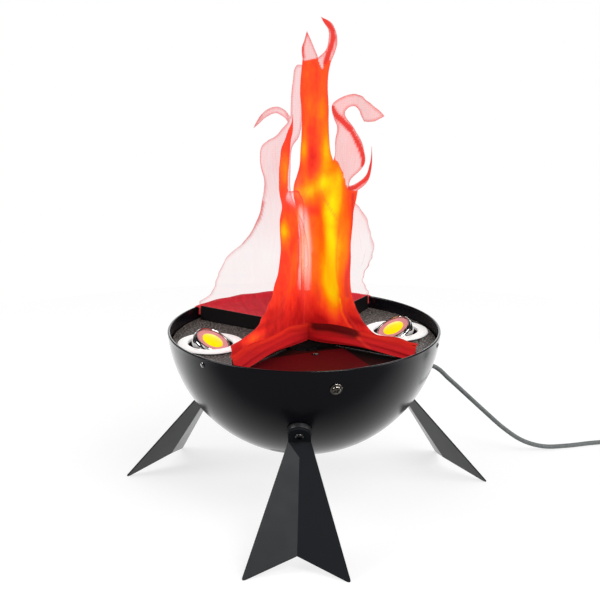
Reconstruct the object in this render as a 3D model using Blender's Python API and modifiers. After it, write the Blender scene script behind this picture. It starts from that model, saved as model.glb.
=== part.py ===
"""Flame effect light: a spun steel bowl on three folded legs.

A fan in the middle of the bowl blows a silk flame upright, and two small
reflector lamps in tilting rings light it. Metres, +Z up, front towards -Y.
Azimuths are in degrees, counted from the front (-Y) towards +X.
"""
import math

import bmesh
import bpy
from mathutils import Euler, Matrix, Vector

# Gap kept between faces that touch on the real light
GAP = 0.0003

# Bowl: a spherical cap, open at the top
BOWL_RIM_R = 0.140
BOWL_DEPTH = 0.129
BOWL_WALL = 0.0012
RIM_Z = 0.1897
BEAD_WIDTH = 0.0026
BEAD_HEIGHT = 0.0032
BASE_FLAT_R = 0.018
BOWL_STEPS = 48
BOWL_ARC_SEGMENTS = 10
BOWL_SPHERE_R = (BOWL_RIM_R ** 2 + BOWL_DEPTH ** 2) / (2 * BOWL_DEPTH)
BOWL_CENTRE_Z = RIM_Z - BOWL_DEPTH + BOWL_SPHERE_R

# Air slots low on the bowl, in pairs
VENT_PAIRS = 5
VENT_FIRST_AZ = -17.0
VENT_POLAR = 31.0
VENT_LENGTH = 0.021
VENT_WIDTH = 0.0022
VENT_PAIR_SPACING = 0.0056

# The plate, cross, lamps and fan are all turned by this angle in the bowl
INNER_AZ = 15.0

# Top plate
PLATE_DEPTH = 0.0125
PLATE_THICK = 0.0012
PLATE_TOP_Z = RIM_Z - PLATE_DEPTH
PLATE_UNDER_Z = PLATE_TOP_Z - PLATE_THICK
TAB_WIDTH = 0.016
TAB_HEIGHT = 0.0135
TAB_SCREW_DROP = 0.0072

# Cross of two strips on edge that carries the silk
ARM_TO_RIM = 0.010
ARM_REACH = BOWL_RIM_R - ARM_TO_RIM
ARM_HEIGHT = 0.0155
ARM_THICK = 0.0012
ARM_TOP_Z = PLATE_TOP_Z + GAP + ARM_HEIGHT
LUG_FROM_END = 0.018
LUG_REACH = ARM_REACH - LUG_FROM_END
LUG_WIDTH = 0.010
LUG_DEPTH = 0.0030

# Screws: pan heads, with a fixed washer where one shows
SCREW_SHANK_R = 0.0020
SCREW_HOLE_R = SCREW_SHANK_R + GAP
SCREW_HEAD_R = 0.0043
SCREW_HEAD_H = 0.0026
WASHER_R = 0.0060
WASHER_THICK = 0.0010
NUT_ACROSS_FLATS = 0.0070
NUT_THICK = 0.0032
RIVET_HEAD_R = 0.0027
RIVET_SHANK_R = 0.0016
RIVET_DROP = 0.0075
RIVET_FIRST_AZ = -43.0

# Legs: folded sheet with a swallowtail foot
LEG_AZ = (0.0, 120.0, 240.0)
LEG_NAMES = ("leg_front", "leg_rear_right", "leg_rear_left")
LEG_SHEET = 0.0015
LEG_SCREW_POLAR = 55.5
LEG_TAB_HALF = 0.0112
LEG_TAB_DROP = 0.0110
LEG_SPACER_R = 0.0125
LEG_SPACER_H = 0.0050
LEG_TIP_REACH = 0.1985
LEG_TIP_HALF = 0.0525
LEG_TIP_ROUND = 0.0050
LEG_CREASE_REACH = 0.1746
LEG_CREASE_FOOT_Z = 0.0153
LEG_CREASE_TOP_DROP = 0.0140
LEG_FOOT_CUT = 0.0014

# Lamps: small reflector lamps in tilting rings
LAMP_AZ = {"right": INNER_AZ + 90.0, "left": INNER_AZ - 90.0}
LAMP_TILT_AZ = {"right": -57.0, "left": 61.0}
LAMP_TILT = 27.0
RING_R = 0.034
RING_TO_RIM = 0.0085
LAMP_REACH = BOWL_RIM_R - RING_TO_RIM - RING_R
RING_OPENING_R = 0.023
RING_BARREL_R = 0.0292
RING_BARREL_WALL = 0.0014
RING_BARREL_DEPTH = 0.012
RING_TOP = 0.0037
RING_LIP_UNDER = 0.0015
PIVOT_RISE = 0.0009
PIVOT_PIN_R = 0.0012
PIVOT_PIN_END = 0.0262
GIMBAL_R = 0.0213
GIMBAL_COLLAR_R = 0.0193
GIMBAL_SEAT_R = 0.0164
GIMBAL_SEAT_Z = 0.0022
LAMP_RIM_R = 0.0177
LAMP_RIM_H = 0.0018
LAMP_NECK_R = 0.0065
LAMP_NECK_TOP = 0.018
LAMP_LENGTH = 0.030
FILTER_R = 0.0170
FILTER_THICK = 0.0012
CLIP_WIRE_R = 0.0006
CAPSULE_R = 0.0030
SOCKET_SIZE = (0.0165, 0.0090, 0.0110)
LAMP_STEPS = 20

# Fan under the middle of the plate
FAN_SIDE = BOWL_RIM_R * 4.0 / 7.0
FAN_DEPTH = 0.025
FAN_FLANGE = 0.0040
FAN_BORE_R = FAN_SIDE * 0.475
FAN_TUBE_R = FAN_SIDE * 0.4975
FAN_HOLE_PITCH = FAN_SIDE * 0.89375
FAN_HUB_R = 0.0155
FAN_HUB_H = 0.0150
FAN_MOTOR_H = 0.0050
FAN_STRUT_W = 0.0045
FAN_SHAFT_R = 0.0025
FAN_TIP_CLEARANCE = 0.0012
FAN_BLADES = 7
FAN_BLADE_SWEEP = 38.0
FAN_BLADE_RISE = 0.0130
FAN_BLADE_THICK = 0.0014
FAN_STEPS = 24

# Mains parts hung under the plate
TRANSFORMER_SIZE = (0.076, 0.034, 0.022)
TRANSFORMER_EAR = 0.009
TRANSFORMER_EAR_THICK = 0.004
TRANSFORMER_REACH = BOWL_RIM_R * 4.0 / 7.0
TERMINAL_SIZE = (0.029, 0.017, 0.014)
TERMINAL_AZ = 136.0
TERMINAL_REACH = BOWL_RIM_R * 0.7

# Silk flame
SILK = 0.0009
SILK_HEIGHT = 0.314
SILK_UNIT = SILK_HEIGHT / 314.0
SILK_AXIS_GAP = 0.0016
SILK_GRID = 0.016
SILK_FOOT_Z = ARM_TOP_Z + GAP
SILK_HEM_REACH = ARM_REACH + 0.002
SKIRT_DROP = 0.0120
SKIRT_FLARE = 0.0065
PANEL_TO_RIM = 0.007
PANEL_REACH = BOWL_RIM_R - PANEL_TO_RIM
PANEL_INNER_REACH = 0.010
PANEL_SAG = 0.0022
PANEL_DROP = 0.0015

# Mains lead: a round two-core lead with a flat two-pin plug
CORD_R = 0.0025
GLAND_AZ = 140.0
GLAND_Z = 0.135
GLAND_HOLE_R = 0.0053
GLAND_HEAD_R = 0.0072
GLAND_TIP_R = 0.0033
GLAND_LENGTH = 0.030
COIL_TURNS_PER_LAYER = 3
COIL_MEAN_R = 0.0275
COIL_PITCH = 2 * CORD_R + 0.0006
COIL_POINTS_PER_TURN = 20
COIL_TAIL = 0.029
COIL_CENTRE = Vector((0.4250, 0.2150, 0.0))
PLUG_SIZE = (0.0155, 0.034, 0.0145)
PLUG_PIN_R = 0.0020
PLUG_PIN_LENGTH = 0.019
PLUG_PIN_PITCH = 0.0186


def azimuth_vector(azimuth, reach=1.0, z=0.0):
    """Point at a reach from the bowl's axis, at an azimuth from the front."""
    angle = math.radians(azimuth)
    return Vector((reach * math.sin(angle), -reach * math.cos(angle), z))


def bowl_radius(z, inset=0.0):
    """Radius of the bowl's surface, or of a surface inset from it, at a height."""
    return math.sqrt((BOWL_SPHERE_R - inset) ** 2 - (BOWL_CENTRE_Z - z) ** 2)


def bowl_inner_clear_radius(z):
    """Largest radius that a round piece inside the faceted bowl can have."""
    sphere = (BOWL_SPHERE_R - BOWL_WALL) * math.cos(math.radians(90.0) / BOWL_ARC_SEGMENTS / 2)
    level = math.sqrt(sphere ** 2 - (BOWL_CENTRE_Z - z) ** 2)
    return level * math.cos(math.pi / BOWL_STEPS) - GAP


def bowl_polar(z):
    """Polar angle, in degrees from straight down, of the bowl's surface at a height."""
    return math.degrees(math.acos((BOWL_CENTRE_Z - z) / BOWL_SPHERE_R))


def smooth(value, low, high):
    """Smooth step from 0 at low to 1 at high."""
    t = min(max((value - low) / (high - low), 0.0), 1.0)
    return t * t * (3.0 - 2.0 * t)


def clear_scene():
    for obj in list(bpy.data.objects):
        bpy.data.objects.remove(obj, do_unlink=True)


def make_collection(name):
    collection = bpy.data.collections.new(name)
    bpy.context.scene.collection.children.link(collection)
    return collection


clear_scene()
LIGHT = make_collection("flame_effect_light")
CUTTERS = make_collection("cutters")


def make_material(name, colour, roughness, metallic=0.0, alpha=1.0):
    """Principled material with a plain colour."""
    material = bpy.data.materials.new(name)
    material.use_nodes = True
    shader = material.node_tree.nodes["Principled BSDF"]
    shader.inputs["Base Color"].default_value = (*colour, 1.0)
    shader.inputs["Roughness"].default_value = roughness
    shader.inputs["Metallic"].default_value = metallic
    shader.inputs["Alpha"].default_value = alpha
    material.diffuse_color = (*colour, alpha)
    return material


BLACK_PAINT = make_material("black_paint", (0.015, 0.015, 0.017), 0.35)
TEXTURED_PAINT = make_material("textured_paint", (0.12, 0.11, 0.10), 0.6)
STRIP_PAINT = make_material("strip_paint", (0.02, 0.02, 0.02), 0.5)
LEG_PAINT = make_material("leg_paint", (0.04, 0.04, 0.043), 0.4)
WHITE_TRIM = make_material("white_trim", (0.85, 0.85, 0.84), 0.3)
CHROME = make_material("chrome", (0.8, 0.8, 0.8), 0.12, metallic=1.0)
NICKEL = make_material("nickel", (0.62, 0.60, 0.57), 0.3, metallic=1.0)
BLACK_STEEL = make_material("black_steel", (0.05, 0.05, 0.05), 0.35, metallic=1.0)
MIRROR_COAT = make_material("mirror_coat", (0.75, 0.75, 0.75), 0.1, metallic=1.0)
LAMP_GLASS = make_material("lamp_glass", (0.9, 0.9, 0.85), 0.05, alpha=0.4)
AMBER_FILTER = make_material("amber_filter", (0.95, 0.45, 0.2), 0.1, alpha=0.6)
CERAMIC = make_material("ceramic", (0.8, 0.78, 0.72), 0.6)
FAN_PLASTIC = make_material("fan_plastic", (0.02, 0.02, 0.02), 0.45)
HOUSING_PLASTIC = make_material("housing_plastic", (0.75, 0.75, 0.73), 0.5)
CORD_RUBBER = make_material("cord_rubber", (0.10, 0.11, 0.11), 0.5)
ORANGE_SILK = make_material("orange_silk", (0.9, 0.16, 0.03), 0.8)
PINK_SILK = make_material("pink_silk", (0.95, 0.6, 0.6), 0.8, alpha=0.5)
RED_SILK = make_material("red_silk", (0.6, 0.01, 0.03), 0.8)


def link(name, data, material, parent=None, collection=None):
    """New object in the light's collection, or in another one."""
    obj = bpy.data.objects.new(name, data)
    (collection or LIGHT).objects.link(obj)
    obj.parent = parent
    if material:
        data.materials.append(material)
    return obj


def mesh_object(name, bm, material, parent=None, collection=None):
    """Object from a bmesh, which is freed."""
    mesh = bpy.data.meshes.new(name)
    bm.to_mesh(mesh)
    bm.free()
    return link(name, mesh, material, parent, collection)


def place(obj, location, rotation=(0.0, 0.0, 0.0)):
    """Location and rotation, with the angles in degrees."""
    obj.location = location
    obj.rotation_euler = [math.radians(angle) for angle in rotation]
    return obj


def place_on_bowl(obj, azimuth, z, out):
    """Stand a piece's +Z square on the bowl's surface, a distance out from it."""
    polar = bowl_polar(z)
    normal = azimuth_vector(azimuth, math.sin(math.radians(polar)))
    normal.z = -math.cos(math.radians(polar))
    centre = Vector((0.0, 0.0, BOWL_CENTRE_Z))
    return place(obj, centre + normal * (BOWL_SPHERE_R + out), (180.0 - polar, 0.0, azimuth))


def smooth_shade(obj, angle=35.0):
    obj.data.shade_smooth()
    obj.data.set_sharp_from_angle(angle=math.radians(angle))
    return obj


def turned(name, profile, steps, material, parent=None, closed=True, collection=None):
    """Turned piece: a profile of (radius, height) points, outer side downwards."""
    bm = bmesh.new()
    verts = [bm.verts.new((radius, 0.0, height)) for radius, height in profile]
    pairs = list(zip(verts, verts[1:])) + ([(verts[-1], verts[0])] if closed else [])
    for first, second in pairs:
        if first.co.x > 0.0 or second.co.x > 0.0:
            bm.edges.new((first, second))
    obj = mesh_object(name, bm, material, parent, collection)
    screw = obj.modifiers.new("turn", "SCREW")
    screw.steps = screw.render_steps = steps
    screw.use_merge_vertices = True
    screw.merge_threshold = 0.00005
    screw.use_smooth_shade = True
    return obj


def box_bmesh(size, bevel=0.0, segments=1):
    """Box centred on the origin, with its edges bevelled."""
    bm = bmesh.new()
    bmesh.ops.create_cube(bm, size=1.0, matrix=Matrix.Diagonal((*size, 1.0)))
    if bevel:
        bmesh.ops.bevel(bm, geom=bm.edges[:], offset=bevel, segments=segments,
                        affect="EDGES", profile=0.5, material=-1)
    return bm


def cylinder_bmesh(radius, low, high, segments=20, matrix=None):
    """Closed cylinder on the Z axis from a low to a high height."""
    bm = bmesh.new()
    offset = Matrix.Translation((0.0, 0.0, (low + high) / 2))
    bmesh.ops.create_cone(bm, cap_ends=True, segments=segments, radius1=radius,
                          radius2=radius, depth=high - low,
                          matrix=(matrix or Matrix.Identity(4)) @ offset)
    return bm


def cutter(name, bm, parent=None):
    """Boolean tool: drawn as a wire and left out of the light."""
    obj = mesh_object(name, bm, None, parent, CUTTERS)
    obj.hide_render = True
    obj.display_type = "WIRE"
    return obj


def boolean(obj, tool, operation="DIFFERENCE"):
    modifier = obj.modifiers.new(tool.name, "BOOLEAN")
    modifier.operation = operation
    modifier.object = tool
    return obj


def baked(obj):
    """Replace an object's modifiers by their result."""
    depsgraph = bpy.context.evaluated_depsgraph_get()
    mesh = bpy.data.meshes.new_from_object(obj.evaluated_get(depsgraph))
    obj.modifiers.clear()
    obj.data = mesh
    return obj


def curve_to_mesh(obj, weld=0.00001):
    """Mesh object with a curve's shape, its caps welded; the curve is removed."""
    depsgraph = bpy.context.evaluated_depsgraph_get()
    mesh = bpy.data.meshes.new_from_object(obj.evaluated_get(depsgraph))
    bm = bmesh.new()
    bm.from_mesh(mesh)
    bmesh.ops.remove_doubles(bm, verts=bm.verts[:], dist=weld)
    bm.to_mesh(mesh)
    bm.free()
    name, matrix, parent = obj.name, obj.matrix_world.copy(), obj.parent
    collection = obj.users_collection[0]
    bpy.data.objects.remove(obj, do_unlink=True)
    mesh_obj = bpy.data.objects.new(name, mesh)
    collection.objects.link(mesh_obj)
    mesh_obj.parent = parent
    mesh_obj.matrix_world = matrix
    return mesh_obj


def screw_profile(head_r, head_h, shank_r, length, washer_r=0.0, washer_h=0.0):
    """Profile of a pan head on a plain shank; z = 0 is the seat of the head."""
    crown = [(0.0, washer_h + head_h), (head_r * 0.62, washer_h + head_h),
             (head_r, washer_h + head_h * 0.45), (head_r, washer_h)]
    if washer_r:
        crown += [(washer_r, washer_h), (washer_r, 0.0)]
    return crown + [(shank_r, 0.0), (shank_r, -length), (0.0, -length)]


def make_screw(name, length, material, parent, washer=False, head_r=SCREW_HEAD_R,
               head_h=SCREW_HEAD_H, shank_r=SCREW_SHANK_R):
    washer_r, washer_h = (WASHER_R, WASHER_THICK) if washer else (0.0, 0.0)
    profile = screw_profile(head_r, head_h, shank_r, length, washer_r, washer_h)
    return turned(name, profile, 12, material, parent, closed=False)


def hole_tool(name, radius, low, high, parent, segments=12):
    return cutter(name, cylinder_bmesh(radius, low, high, segments), parent)


def bowl_profile():
    """Outer wall down to the base, then back up inside, with a bead at the rim."""
    rim_polar = math.radians(bowl_polar(RIM_Z))
    base_polar = math.asin(BASE_FLAT_R / BOWL_SPHERE_R)

    def arc(radius, start, stop):
        for i in range(BOWL_ARC_SEGMENTS + 1):
            polar = start + (stop - start) * i / BOWL_ARC_SEGMENTS
            yield (radius * math.sin(polar), BOWL_CENTRE_Z - radius * math.cos(polar))

    bead_foot = RIM_Z - BEAD_HEIGHT
    inner_r = BOWL_SPHERE_R - BOWL_WALL
    inner_stop = math.acos((BOWL_CENTRE_Z - bead_foot) / inner_r)
    bead_round = BEAD_WIDTH * 0.3
    bead_in = BOWL_RIM_R - BEAD_WIDTH
    outer = list(arc(BOWL_SPHERE_R, rim_polar - 0.010, base_polar))
    inner = list(arc(inner_r, base_polar, inner_stop))
    return ([(BOWL_RIM_R - bead_round, RIM_Z), (BOWL_RIM_R, RIM_Z - bead_round)] + outer
            + [(0.0, outer[-1][1]), (0.0, inner[0][1])] + inner
            + [(bead_in, bead_foot), (bead_in, RIM_Z - bead_round),
               (bead_in + bead_round, RIM_Z)])


def make_bowl(stand):
    """Bowl with its air slots and the holes for legs, plate, rivets and lead."""
    bowl = turned("bowl", bowl_profile(), BOWL_STEPS, BLACK_PAINT, stand)
    reach = 3.5 * BOWL_WALL
    for index in range(VENT_PAIRS):
        azimuth = VENT_FIRST_AZ + index * 360.0 / VENT_PAIRS
        for side in (-0.5, 0.5):
            slot = box_bmesh((VENT_LENGTH, VENT_WIDTH, 2 * reach))
            bmesh.ops.translate(slot, verts=slot.verts[:],
                                vec=(0.0, side * VENT_PAIR_SPACING, 0.0))
            tool = cutter(f"vent_{index}_{side}", slot, stand)
            vent_z = BOWL_CENTRE_Z - BOWL_SPHERE_R * math.cos(math.radians(VENT_POLAR))
            place_on_bowl(tool, azimuth, vent_z, 0.0)
            boolean(bowl, tool)
    leg_z = BOWL_CENTRE_Z - BOWL_SPHERE_R * math.cos(math.radians(LEG_SCREW_POLAR))
    holes = [("leg", azimuth, leg_z, SCREW_HOLE_R) for azimuth in LEG_AZ]
    holes += [("plate", azimuth, PLATE_TOP_Z - TAB_SCREW_DROP, SCREW_HOLE_R)
              for azimuth in plate_screw_azimuths()]
    holes += [("rivet", azimuth, RIM_Z - RIVET_DROP, RIVET_SHANK_R + GAP)
              for azimuth in rivet_azimuths()]
    holes.append(("lead", GLAND_AZ, GLAND_Z, GLAND_HOLE_R + GAP))
    for kind, azimuth, z, radius in holes:
        tool = hole_tool(f"{kind}_hole_{azimuth:.0f}", radius, -reach, reach, stand)
        boolean(bowl, place_on_bowl(tool, azimuth, z, 0.0))
    return bowl


def plate_screw_azimuths():
    return [INNER_AZ + 120.0 * i for i in range(3)]


def rivet_azimuths():
    return [RIVET_FIRST_AZ + 120.0 * i for i in range(3)]


def make_top_plate(stand):
    """Round plate with openings for fan and lamps, slots and three bent tabs."""
    radius = bowl_inner_clear_radius(PLATE_UNDER_Z)
    plate = turned("top_plate", [(radius, PLATE_TOP_Z), (radius, PLATE_UNDER_Z),
                                 (FAN_BORE_R, PLATE_UNDER_Z), (FAN_BORE_R, PLATE_TOP_Z)],
                   BOWL_STEPS, TEXTURED_PAINT, stand)
    tab_foot = PLATE_TOP_Z - TAB_HEIGHT
    tab_out = math.sqrt(bowl_inner_clear_radius(tab_foot) ** 2 - (TAB_WIDTH / 2) ** 2)
    for azimuth in plate_screw_azimuths():
        bm = box_bmesh((TAB_WIDTH, PLATE_THICK, TAB_HEIGHT - PLATE_THICK / 2))
        tab = cutter(f"tab_{azimuth:.0f}", bm, stand)
        middle = azimuth_vector(azimuth, tab_out - PLATE_THICK / 2)
        middle.z = (tab_foot + PLATE_TOP_Z - PLATE_THICK / 2) / 2
        boolean(plate, place(tab, middle, (0.0, 0.0, azimuth)), "UNION")
        hole = hole_tool(f"tab_hole_{azimuth:.0f}", SCREW_HOLE_R, -0.012, 0.0, stand)
        place_on_bowl(hole, azimuth, PLATE_TOP_Z - TAB_SCREW_DROP, 0.0)
        boolean(plate, hole)
    for side, azimuth in LAMP_AZ.items():
        hole = hole_tool(f"lamp_hole_{side}", RING_BARREL_R + GAP, -0.005, 0.005, stand, 32)
        place(hole, azimuth_vector(azimuth, LAMP_REACH, PLATE_TOP_Z))
        boolean(plate, hole)
    for azimuth in arm_azimuths():
        slot = cutter(f"lug_slot_{azimuth:.0f}",
                      box_bmesh((ARM_THICK + 2 * GAP, LUG_WIDTH + 2 * GAP,
                                 8 * PLATE_THICK)), stand)
        place(slot, azimuth_vector(azimuth, LUG_REACH, PLATE_TOP_Z), (0.0, 0.0, azimuth))
        boolean(plate, slot)
    for index, spot in enumerate(fan_screw_spots() + transformer_screw_spots()):
        hole = hole_tool(f"plate_hole_{index}", SCREW_HOLE_R, -0.005, 0.005, stand)
        boolean(plate, place(hole, spot))
    return plate


def arm_azimuths():
    return [INNER_AZ + 45.0 + 90.0 * i for i in range(4)]


def fan_screw_spots():
    """Tops of the four fan screws' holes, on the plate."""
    reach = FAN_HOLE_PITCH / math.sqrt(2)
    return [azimuth_vector(INNER_AZ + 90.0 * i, reach, PLATE_TOP_Z)
            for i in range(4)]


def transformer_screw_spots():
    """Tops of the two transformer screws' holes, on the plate."""
    turn = Matrix.Rotation(math.radians(INNER_AZ + 180.0), 3, "Z")
    half = TRANSFORMER_SIZE[0] / 2 + TRANSFORMER_EAR / 2
    return [turn @ Vector((side * half, -TRANSFORMER_REACH, 0.0))
            + Vector((0.0, 0.0, PLATE_TOP_Z)) for side in (-1, 1)]


def make_arm_strip(name, azimuth, notch_from_top, stand):
    """Strip on edge, half notched at the middle, with a lug near each end."""
    strip = mesh_object(name, box_bmesh((ARM_THICK, 2 * ARM_REACH, ARM_HEIGHT)),
                        STRIP_PAINT, stand)
    place(strip, (0.0, 0.0, ARM_TOP_Z - ARM_HEIGHT / 2), (0.0, 0.0, azimuth))
    for side in (-1, 1):
        bm = box_bmesh((ARM_THICK, LUG_WIDTH, 2 * LUG_DEPTH))
        bmesh.ops.translate(bm, verts=bm.verts[:],
                            vec=(0.0, side * LUG_REACH, -ARM_HEIGHT / 2))
        boolean(strip, cutter(f"{name}_lug_{side}", bm, strip), "UNION")
    notch = box_bmesh((4 * ARM_THICK, ARM_THICK + 2 * GAP, ARM_HEIGHT + GAP))
    half = ARM_HEIGHT / 2
    bmesh.ops.translate(notch, verts=notch.verts[:],
                        vec=(0.0, 0.0, half if notch_from_top else -half))
    boolean(strip, cutter(f"{name}_notch", notch, strip))
    return strip


def leg_half_surface():
    """Half of a front leg's middle surface: tab, gusset and one blade."""
    polar = math.radians(LEG_SCREW_POLAR)
    normal = Vector((0.0, -math.sin(polar), -math.cos(polar)))
    upward = Vector((0.0, -math.cos(polar), math.sin(polar)))
    out = BOWL_SPHERE_R + 2 * GAP + LEG_SPACER_H + LEG_SHEET / 2
    screw = Vector((0.0, 0.0, BOWL_CENTRE_Z)) + normal * out

    def on_tab(x, up):
        return screw + upward * up + Vector((x, 0.0, 0.0))

    bm = bmesh.new()
    round_top = [on_tab(LEG_TAB_HALF * math.sin(a), LEG_TAB_HALF * math.cos(a))
                 for a in (math.radians(15.0 * i) for i in range(7))]
    tab = [bm.verts.new(point) for point in round_top]
    bend_side = bm.verts.new(on_tab(LEG_TAB_HALF, -LEG_TAB_DROP))
    bend_mid = bm.verts.new(on_tab(0.0, -LEG_TAB_DROP))
    tip = Vector((LEG_TIP_HALF, -LEG_TIP_REACH, -LEG_FOOT_CUT))
    crease_foot = Vector((0.0, -LEG_CREASE_REACH, LEG_CREASE_FOOT_Z))
    across = (tip - bend_side.co).cross(crease_foot - bend_side.co)
    crease_z = bend_mid.co.z - LEG_CREASE_TOP_DROP
    offset = across.x * bend_side.co.x - across.z * (crease_z - bend_side.co.z)
    crease_top = bm.verts.new((0.0, bend_side.co.y + offset / across.y, crease_z))
    tip_vert = bm.verts.new(tip)
    foot_vert = bm.verts.new(crease_foot)
    bm.faces.new([bend_mid, bend_side] + tab[::-1])
    bm.faces.new([bend_mid, crease_top, bend_side])
    bm.faces.new([crease_top, foot_vert, tip_vert, bend_side])
    bmesh.ops.bevel(bm, geom=[tip_vert], offset=LEG_TIP_ROUND, segments=4,
                    affect="VERTICES", profile=0.5, material=-1)
    bmesh.ops.recalc_face_normals(bm, faces=bm.faces[:])
    return bm


def make_leg(name, azimuth, stand):
    """Folded leg: mirrored half sheet, drilled, and cut flat where it stands."""
    leg = mesh_object(name, leg_half_surface(), LEG_PAINT, stand)
    place(leg, (0.0, 0.0, 0.0), (0.0, 0.0, azimuth))
    mirror = leg.modifiers.new("other_half", "MIRROR")
    mirror.merge_threshold = 0.00005
    sheet = leg.modifiers.new("sheet", "SOLIDIFY")
    sheet.thickness = LEG_SHEET
    sheet.offset = 0.0
    sheet.use_even_offset = True
    hole = hole_tool(f"{name}_hole", SCREW_HOLE_R, -0.004, 0.012, stand)
    place_on_bowl(hole, azimuth, leg_screw_z(), 0.0)
    boolean(leg, hole)
    depth = LEG_CREASE_FOOT_Z
    floor = cutter(f"{name}_floor", box_bmesh((LEG_TIP_REACH, LEG_TIP_REACH, depth)), stand)
    place(floor, azimuth_vector(azimuth, LEG_TIP_REACH, -depth / 2), (0.0, 0.0, azimuth))
    return boolean(leg, floor)


def leg_screw_z():
    return BOWL_CENTRE_Z - BOWL_SPHERE_R * math.cos(math.radians(LEG_SCREW_POLAR))


def make_leg_fixings(name, azimuth, stand):
    """Spacer, screw and nut that hold one leg to the bowl."""
    z = leg_screw_z()
    chamfer = 0.0006
    spacer = turned(f"{name}_spacer", [
        (LEG_SPACER_R - chamfer, LEG_SPACER_H), (LEG_SPACER_R, LEG_SPACER_H - chamfer),
        (LEG_SPACER_R, 0.0), (SCREW_HOLE_R, 0.0), (SCREW_HOLE_R, LEG_SPACER_H)],
        20, BLACK_PAINT, stand)
    place_on_bowl(spacer, azimuth, z, GAP)
    seat = GAP + LEG_SPACER_H + GAP + LEG_SHEET + GAP
    length = seat + BOWL_WALL + 3 * GAP + NUT_THICK + 0.0012
    screw = make_screw(f"{name}_screw", length, BLACK_STEEL, stand)
    place_on_bowl(screw, azimuth, z, seat)
    bm = cylinder_bmesh(NUT_ACROSS_FLATS / math.sqrt(3), 0.0, NUT_THICK, 6)
    nut = mesh_object(f"{name}_nut", bm, NICKEL, stand)
    place_on_bowl(nut, azimuth, z, -(BOWL_WALL + 3 * GAP + NUT_THICK))
    bore = hole_tool(f"{name}_nut_bore", SCREW_HOLE_R, -0.001, NUT_THICK + 0.001, nut)
    return boolean(nut, bore)


def make_plate_screws(stand):
    """Bright screws with washers through the bowl into the plate's tabs."""
    for index, azimuth in enumerate(plate_screw_azimuths(), start=1):
        screw = make_screw(f"plate_screw_{index}", 0.0085, NICKEL, stand, washer=True)
        place_on_bowl(screw, azimuth, PLATE_TOP_Z - TAB_SCREW_DROP, GAP)


def make_rim_rivets(stand):
    """Black rivets above the plate, whose inner ends keep it down."""
    head_h, tail_h = 0.0010, 0.0014
    wall = BOWL_WALL + 3 * GAP
    tail_r = RIVET_HEAD_R * 0.85
    profile = [(0.0, head_h), (RIVET_HEAD_R * 0.6, head_h), (RIVET_HEAD_R, head_h * 0.3),
               (RIVET_HEAD_R, 0.0), (RIVET_SHANK_R, 0.0), (RIVET_SHANK_R, -wall),
               (tail_r, -wall), (tail_r, -wall - tail_h * 0.6), (0.0, -wall - tail_h)]
    for index, azimuth in enumerate(rivet_azimuths(), start=1):
        rivet = turned(f"rim_rivet_{index}", profile, 12, BLACK_STEEL, stand, closed=False)
        place_on_bowl(rivet, azimuth, RIM_Z - RIVET_DROP, GAP)


def make_lamp_ring(side, stand):
    """Fixed trim ring with a barrel through the plate and holes for the pivot pins."""
    lower = 0.0020
    inner = RING_BARREL_R - RING_BARREL_WALL
    ring = turned(f"lamp_ring_{side}", [
        (RING_OPENING_R + 0.001, RING_TOP), (RING_R - 0.0025, RING_TOP),
        (RING_R - 0.0006, RING_TOP - 0.0004), (RING_R, RING_TOP - 0.0011),
        (RING_R, lower), (RING_R - 0.0025, lower), (RING_R - 0.0025, GAP),
        (RING_BARREL_R, GAP), (RING_BARREL_R, -RING_BARREL_DEPTH),
        (inner, -RING_BARREL_DEPTH), (inner, -RING_LIP_UNDER),
        (RING_OPENING_R, -RING_LIP_UNDER), (RING_OPENING_R, RING_TOP - 0.0006)],
        30, WHITE_TRIM, stand)
    place(ring, azimuth_vector(LAMP_AZ[side], LAMP_REACH, PLATE_TOP_Z))
    along = (Matrix.Rotation(math.radians(LAMP_TILT_AZ[side]), 4, "Z")
             @ Matrix.Translation((0.0, 0.0, PIVOT_RISE))
             @ Matrix.Rotation(math.pi / 2, 4, "Y"))
    reach = PIVOT_PIN_END + GAP
    tool = cutter(f"pin_holes_{side}",
                  cylinder_bmesh(PIVOT_PIN_R + GAP, -reach, reach, 12, along), ring)
    return boolean(ring, tool)


def make_gimbal(side, pivot):
    """Tilting ring with a seat and collar for the lamp and a pin at each side."""
    gimbal = turned(f"gimbal_ring_{side}", [
        (GIMBAL_COLLAR_R - 0.001, 0.0072), (GIMBAL_COLLAR_R, 0.0072),
        (GIMBAL_COLLAR_R + 0.0004, 0.0030), (GIMBAL_R, 0.0025), (GIMBAL_R, -0.0040),
        (GIMBAL_R - 0.001, -0.0040), (GIMBAL_R - 0.001, 0.0012), (GIMBAL_SEAT_R, 0.0012),
        (GIMBAL_SEAT_R, GIMBAL_SEAT_Z), (GIMBAL_COLLAR_R - 0.001, GIMBAL_SEAT_Z)],
        28, CHROME, pivot)
    for end in (-1, 1):
        turn = Matrix.Rotation(end * math.pi / 2, 4, "Y")
        pin = cylinder_bmesh(PIVOT_PIN_R, GIMBAL_R - 0.0006, PIVOT_PIN_END, 12, turn)
        boolean(gimbal, cutter(f"pin_{side}_{end}", pin, gimbal), "UNION")
    return gimbal


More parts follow.
